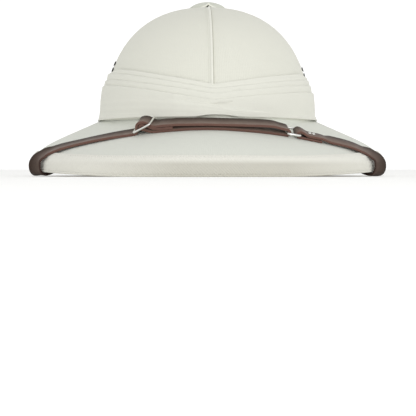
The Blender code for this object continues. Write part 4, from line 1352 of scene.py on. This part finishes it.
class StrapRun:
    """The chin strap's course: over the brim, through its fittings and round the rim.

    A course is rows of a place along the strap from its middle, and a lift off the brim.
    """

    def __init__(self, context):
        self.form, self.thick = hat_form(context), context.scene.helmet_sizes.strap_thickness
        self.middle = LAY_LOW + self.thick + GAP
        self.top = self.middle + self.thick + GAP
        half = [Vector((across, -forward, 0.0)) for across, forward in STRAP_COURSE]
        whole = [Vector((-point.x, point.y, 0.0)) for point in reversed(half[1:])] + half
        row = [centre for centre, _ in smooth_stations([(p, p) for p in whole], COURSE_STEP)]
        lengths = running_lengths(row)
        self.end = lengths[-1] / 2
        self.row = [(length - self.end, point) for length, point in zip(lengths, row)]

    def plan(self, place):
        """Point in plan at a place along the strap."""
        for (before, low), (after, high) in zip(self.row, self.row[1:]):
            if place <= after:
                return low.lerp(high, (place - before) / (after - before))
        return self.row[-1][1]

    def seat(self, place):
        """Point on the brim below the strap, the way to its near edge, and up."""
        form, point = self.form, self.plan(place)
        angle, reach = form.below(point.x, point.y)
        ahead, behind = [form.ground(self.plan(place + step))
                         for step in (COURSE_STEP, -COURSE_STEP)]
        along = (ahead - behind).normalized()
        up = form.outward(form.brim, angle, reach)
        up = (up - along * up.dot(along)).normalized()
        return form.brim(angle, reach), along.cross(up), up

    def stations(self, course, rise=0.0, tilt=0.0):
        """Centres and sides on a course; a rise and a tilt of the far edge fade along it."""
        rows = []
        for index, (place, lift) in enumerate(course):
            share = index / (len(course) - 1)
            ground, side, up = self.seat(place)
            rows.append((ground + up * (lift + rise * (1 - share) ** 1.5),
                         side - up * tilt * (1 - share ** 2)))
        return rows

    def left_course(self):
        """From the tail round the slide's middle bar, to the ring and back over the slide."""
        around = SLIDE_WIRE + GAP + self.thick / 2
        bar, ring_bar = SLIDE_PLACE, RING_PLACE - RING_PITCH
        bar_lift = (SLIDE_LIFT_LEFT + SLIDE_LIFT_RIGHT) / 2
        course = spread(MIDDLE_TAIL_END, bar + TAIL_FROM_SLIDE, self.middle)
        # Up to the middle bar, round it, and out below to the ring
        course += beside(TO_SLIDE, bar, self.middle)
        course += arc(bar, bar_lift, around, 75, 285, 9)
        course += beside(FROM_SLIDE, bar, LAY_LOW)
        course += spread(bar + LOW_FROM_SLIDE, ring_bar - LOW_FROM_RING, LAY_LOW)
        course += arc(ring_bar, RING_LIFT, RING_WIRE + GAP + self.thick / 2, -90, 90, 8)
        # Back on top, pulled taut, then over the slide and down round its left bar
        first, last = ring_bar - LOW_FROM_RING, bar + TAUT_FROM_SLIDE
        course += [(place, lift + read_row(TAUT, (place - last) / (first - last)))
                   for place, lift in spread(first, last, self.top)]
        hump = bar_lift + around + self.thick + GAP
        course += beside(TO_HUMP, bar, self.top) + beside(HUMP, bar, hump)
        course += beside(FROM_HUMP, bar, bar_lift)
        return course + arc(bar - SLIDE_PITCH, SLIDE_LIFT_LEFT, around, -35, -90, 2)

    def right_course(self):
        """From the tail through the ring, and back over the tail to its rivets."""
        ring_bar = RING_PLACE + RING_PITCH
        course = spread(RIGHT_TAIL_END, ring_bar + RIGHT_LOW_FROM_RING, LAY_LOW)
        course += arc(ring_bar, RING_LIFT, RING_WIRE + GAP + self.thick / 2, 270, 90, 8)
        course += beside(FROM_RING_TOP, ring_bar, self.top)
        course += beside(FROM_RING_MIDDLE, ring_bar, self.middle)
        course += spread(ring_bar + RIGHT_TOP_FROM_RING, RIGHT_TAIL_END, self.middle)
        return course + beside(RIGHT_END, RIGHT_TAIL_END, self.middle)

    def outer_course(self, first, last):
        """The single strap: off the brim halfway out to the rim, rising over the binding."""
        rows = []
        for place, _ in spread(first, last, 0.0, 0.008):
            share = max(0.0, (abs(place) - self.end + RISE_LENGTH) / RISE_LENGTH)
            bridge = sin(pi * (place - first) / (last - first))
            rows.append((place, LAY_LOW + BRIDGE_LIFT * bridge + RISE_LIFT * share ** 1.5))
        return rows

    def rim_run(self, hand):
        """Round the rim and under the brim to the pin inside the crown."""
        form = self.form
        crossing = self.row[-1][1]
        angle, _ = form.below(crossing.x, crossing.y)
        rim = form.rim(angle, 0.0, 0.0)
        out = form.outward(form.brim, angle, 0.5)
        out = Vector((out.x, out.y, 0.0)).normalized()
        back = Vector((-out.y, out.x, 0.0))
        rows = []
        for outside, height, backward, near_out, near_down in WRAP:
            centre = rim + out * outside + back * backward
            centre.z = height
            rows.append((centre, out * near_out - Vector((0.0, 0.0, near_down)) - back))
        wall = anchor_points(form, self.thick)
        rows += self.under_run(rows[-1][0], wall[0])
        tangent = Vector((sin(ANCHOR_ANGLE), -cos(ANCHOR_ANGLE), 0.0))
        rows += [(centre, tangent) for centre in wall]
        mirror = Vector((hand, 1.0, 1.0))
        return [(centre * mirror, side * mirror) for centre, side in rows]

    def under_run(self, start, end):
        """Along the brim's underside, turning level with it from the rim inwards."""
        along = (end - start).normalized()
        depth = SHELL_INSIDE + GAP + BINDING + UNDER_CLEARANCE
        rows = []
        for share in UNDER_SHARES:
            centre = start.lerp(end, share)
            angle, reach = self.form.below(centre.x, centre.y)
            up = self.form.outward(self.form.brim, angle, reach)
            roof = self.form.brim(angle, reach).z - depth / up.z - self.thick / 2
            centre.z = max(UNDER_LOWEST, min(centre.z, roof))
            level = Vector((0.0, 0.0, 1.0)).lerp(up, min(1.0, share / UNDER_LEVEL_SHARE))
            rows.append((centre, level.cross(along)))
        return rows

    def strap(self, hand):
        end = self.end - RIM_APPROACH
        if hand < 0:
            outer = self.outer_course(SLIDE_PLACE - OUTER_FROM_SLIDE, -end)
            rows = self.stations(self.left_course() + outer)
        else:
            outer = self.outer_course(RIGHT_TAIL_END + OUTER_FROM_END, end)
            rows = self.stations(self.right_course())
            rows += self.stations(outer, PULLED_RISE, PULLED_TILT)
        return smooth_stations(rows + self.rim_run(hand), STRAP_STEP)


def leather_strip(rows, width):
    """A grid laid along a course, with a UV map in metres along and across the strap."""
    last = len(rows) - 1
    mesh = bmesh.new()
    bmesh.ops.create_grid(mesh, x_segments=last, y_segments=STRAP_COLUMNS, size=0.5)
    centres = [centre for centre, _ in rows]
    lengths = running_lengths(centres)
    places = {vert: (round((vert.co.x + 0.5) * last), vert.co.y) for vert in mesh.verts}
    sides, ups = [], []
    for index, (_, side) in enumerate(rows):
        along = centres[min(last, index + 1)] - centres[max(0, index - 1)]
        along.normalize()
        sides.append((side - along * side.dot(along)).normalized())
        ups.append(sides[-1].cross(along))
    for vert, (index, across) in places.items():
        vert.co = centres[index] + sides[index] * width * across
        vert.co += ups[index] * STRAP_CROWN * (1 - 4 * across * across)
    uv = mesh.loops.layers.uv.new("leather")
    for face in mesh.faces:
        for loop in face.loops:
            index, across = places[loop.vert]
            loop[uv].uv = (lengths[index], across * width)
    return mesh


class ChinStraps(bpy.types.Operator):
    """Make the two leather straps, each cut from sheet leather with rounded edges"""
    bl_idname = "helmet.straps"
    bl_label = "Chin straps"

    def execute(self, context):
        sizes, run = context.scene.helmet_sizes, StrapRun(context)
        for hand, name in ((-1, "left"), (1, "right")):
            strap = new_piece("strap_" + name, leather_strip(run.strap(hand), sizes.strap_width),
                              ["waxed_leather", "cut_leather"], ["chin_strap_" + name])
            thick = strap.modifiers.new("leather", "SOLIDIFY")
            thick.thickness = sizes.strap_thickness
            thick.offset = 0.0
            thick.use_even_offset = True
            thick.material_offset_rim = 1
            bevel = strap.modifiers.new("rounded edges", "BEVEL")
            bevel.width = LEATHER_ROUNDING
            bevel.segments = 3
            bevel.material = 1
            bevel.limit_method = "ANGLE"
            bevel.angle_limit = radians(60)
        return {"FINISHED"}


# Metal fittings

CORNER_STEPS = 6
RIVET_PLACES = (0.0897, 0.0931)
# Profiles as radius and height: heads from the face that they sit on, shanks from the seat
RIVET_HEAD = ((0.0, 0.0010), (0.0006, 0.00095), (0.0011, 0.0007), (0.0014, 0.0003),
              (0.0015, 0.0001), (0.0014, 0.0), (0.0007, 0.0))
RIVET_SHANK = ((0.0007, 0.0006), (0.0, 0.0006))
PIN_HEAD = ((0.0, 0.0012), (0.0015, 0.0011), (0.0029, 0.0008), (0.0037, 0.0004),
            (0.0040, 0.0001), (0.0039, 0.0), (0.0018, 0.0))
PIN_SHANK = ((0.0018, -0.0045), (0.0, -0.0045))


def wire_corners(run, place, pitch, lifts, half_width):
    """Corners of a wire link round the strap, at a lift on its left and on its right side."""
    corners = []
    for end, hand in ((0, 1), (1, 1), (1, -1), (0, -1)):
        ground, side, up = run.seat(place + (2 * end - 1) * pitch)
        corners.append(ground + up * lifts[end] + side * half_width * hand)
    return corners


def wire_link(corners, bend, wire):
    """A closed wire whose corners are turned on a small radius."""
    points = []
    for index, corner in enumerate(corners):
        before = (corners[index - 1] - corner).normalized() * bend
        after = (corners[(index + 1) % len(corners)] - corner).normalized() * bend
        for share in stations(0.0, 1.0, CORNER_STEPS):
            points.append(corner + before * (1 - share) ** 2 + after * share ** 2)
    return round_wire(points, wire, True)


def headed(head, face, shank):
    return [(radius, face + height) for radius, height in head] + list(shank)


class SlideAndRing(bpy.types.Operator):
    """Make the nickel-plated wire slide and the ring"""
    bl_idname = "helmet.slide"
    bl_label = "Slide and ring"

    def execute(self, context):
        run = StrapRun(context)
        slide = wire_corners(run, SLIDE_PLACE, SLIDE_PITCH, (SLIDE_LIFT_LEFT, SLIDE_LIFT_RIGHT),
                             SLIDE_HALF_WIDTH)
        wires = wire_link(slide, SLIDE_BEND, SLIDE_WIRE)
        near, far = (slide[0] + slide[1]) / 2, (slide[2] + slide[3]) / 2
        add_part(wires, round_wire([near, near.lerp(far, 0.5), far], SLIDE_WIRE, False))
        new_piece("slide", wires, ["nickel_plate"], ["slide_buckle"])
        ring = wire_corners(run, RING_PLACE, RING_PITCH, (RING_LIFT, RING_LIFT), RING_HALF_WIDTH)
        new_piece("ring", wire_link(ring, RING_BEND, RING_WIRE), ["nickel_plate"],
                  ["strap_ring"])
        return {"FINISHED"}


class RivetsAndPins(bpy.types.Operator):
    """Make the two strap rivets and the two pins inside the crown"""
    bl_idname = "helmet.rivets"
    bl_label = "Rivets and pins"

    def execute(self, context):
        run = StrapRun(context)
        foot = run.thick / 2 + GAP
        head = headed(RIVET_HEAD, run.middle + foot, RIVET_SHANK)
        for index, place in enumerate(RIVET_PLACES):
            ground, _, up = run.seat(place)
            new_piece("rivet_%d" % (index + 1), turned(head, 24, ground, up), ["nickel_plate"],
                      ["strap_rivet_%d" % (index + 1)])
        pin = headed(PIN_HEAD, foot, PIN_SHANK)
        for hand, name in ((-1, "left"), (1, "right")):
            seat = anchor_seat(run.form, hand, run.thick)
            new_piece("pin_" + name, turned(pin, 32, *seat), ["nickel_plate"],
                      ["anchor_pin_" + name])
        return {"FINISHED"}


# Studio

FLOOR_HALF_WIDTH = 12.0
CAMERA_PLACE = (0.0005, -1.500, 0.007)
CAMERA_AIM = (0.0005, 0.0, -0.0300)
# Focal length in pixels of the photo, which gives the lens for a 36 mm sensor
FOCAL_PIXELS = 1601.0
FRAME_PIXELS = 416.0
SENSOR_MM = 36.0
NEAREST, FARTHEST = 0.05, 100.0
# A white cove that dims overhead, as studio walls are brighter than the ceiling
COVE_LIGHT, COVE_HEIGHT = 1.12, 0.15
CEILING_LIGHT, CEILING_HEIGHT = 0.70, 0.9
SOFTBOX_PLACE = (0.75, -2.4, 0.45)
SOFTBOX_AIM = (0.0, 0.0, 0.09)
SOFTBOX_SIZE = (1.6, 1.2)
SOFTBOX_POWER = 17.0


def aimed(name, data, place, aim):
    """Stand a lamp or a camera at a place, turned towards another."""
    made = bpy.data.objects.new(name, data)
    made.location = place
    made.rotation_euler = (Vector(aim) - Vector(place)).to_track_quat("-Z", "Y").to_euler()
    bpy.context.scene.collection.objects.link(made)
    return made


class Studio(bpy.types.Operator):
    """Make the floor, the lights and the camera"""
    bl_idname = "helmet.studio"
    bl_label = "Studio"

    def execute(self, context):
        mesh = bmesh.new()
        bmesh.ops.create_grid(mesh, x_segments=1, y_segments=1, size=FLOOR_HALF_WIDTH)
        floor = linked_object("studio_floor", mesh)
        floor.data.materials.append(finish("studio_paper"))

        world = bpy.data.worlds.new("studio")
        world.use_nodes = True
        tree = world.node_tree
        way = add_node(tree, "TexCoord").outputs
        height = add_node(tree, "SeparateXYZ", Vector=way["Generated"]).outputs["Z"]
        light = add_node(tree, "MapRange", Value=height, _1=COVE_HEIGHT, _2=CEILING_HEIGHT,
                         _3=COVE_LIGHT, _4=CEILING_LIGHT)
        set_inputs(tree.nodes["Background"], {"Strength": light, "Color": WHITE})
        context.scene.world = world
        softbox = bpy.data.lights.new("front_softbox", "AREA")
        softbox.shape = "RECTANGLE"
        softbox.size, softbox.size_y = SOFTBOX_SIZE
        softbox.energy = SOFTBOX_POWER
        aimed("front_softbox", softbox, SOFTBOX_PLACE, SOFTBOX_AIM)
        context.scene.view_settings.view_transform = "Standard"

        lens = bpy.data.cameras.new("camera")
        lens.sensor_width = SENSOR_MM
        lens.lens = SENSOR_MM * FOCAL_PIXELS / FRAME_PIXELS
        lens.clip_start, lens.clip_end = NEAREST, FARTHEST
        context.scene.camera = aimed("camera", lens, CAMERA_PLACE, CAMERA_AIM)
        return {"FINISHED"}


OPERATORS = (MouldedShell, ClothCovers, RimBinding, Puggaree, VentilatorCap, CrownSeams,
             VentEyelets, ChinStraps, SlideAndRing, RivetsAndPins, Studio)


class HelmetPanel(bpy.types.Panel):
    """Lists the hat's sizes, colours and pieces"""
    bl_idname = "HELMET_PT_panel"
    bl_label = "Pith Helmet"
    bl_space_type = "VIEW_3D"
    bl_region_type = "UI"
    bl_category = "Pith Helmet"

    def draw(self, context):
        for group in (context.scene.helmet_sizes, context.scene.helmet_colours):
            box = self.layout.box()
            for name in group.bl_rna.properties.keys():
                if name not in {"rna_type", "name"}:
                    box.prop(group, name)
        for operator in OPERATORS:
            self.layout.operator(operator.bl_idname)


CLASSES = (HelmetSizes, HelmetColours, *OPERATORS, HelmetPanel)


def register():
    for cls in CLASSES:
        bpy.utils.register_class(cls)
    bpy.types.Scene.helmet_sizes = bpy.props.PointerProperty(type=HelmetSizes)
    bpy.types.Scene.helmet_colours = bpy.props.PointerProperty(type=HelmetColours)


def unregister():
    del bpy.types.Scene.helmet_colours
    del bpy.types.Scene.helmet_sizes
    for cls in reversed(CLASSES):
        bpy.utils.unregister_class(cls)


def main():
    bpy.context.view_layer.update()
    register()
    for operator in OPERATORS:
        group, name = operator.bl_idname.split(".")
        getattr(getattr(bpy.ops, group), name)()


if __name__ == "__main__":
    main()
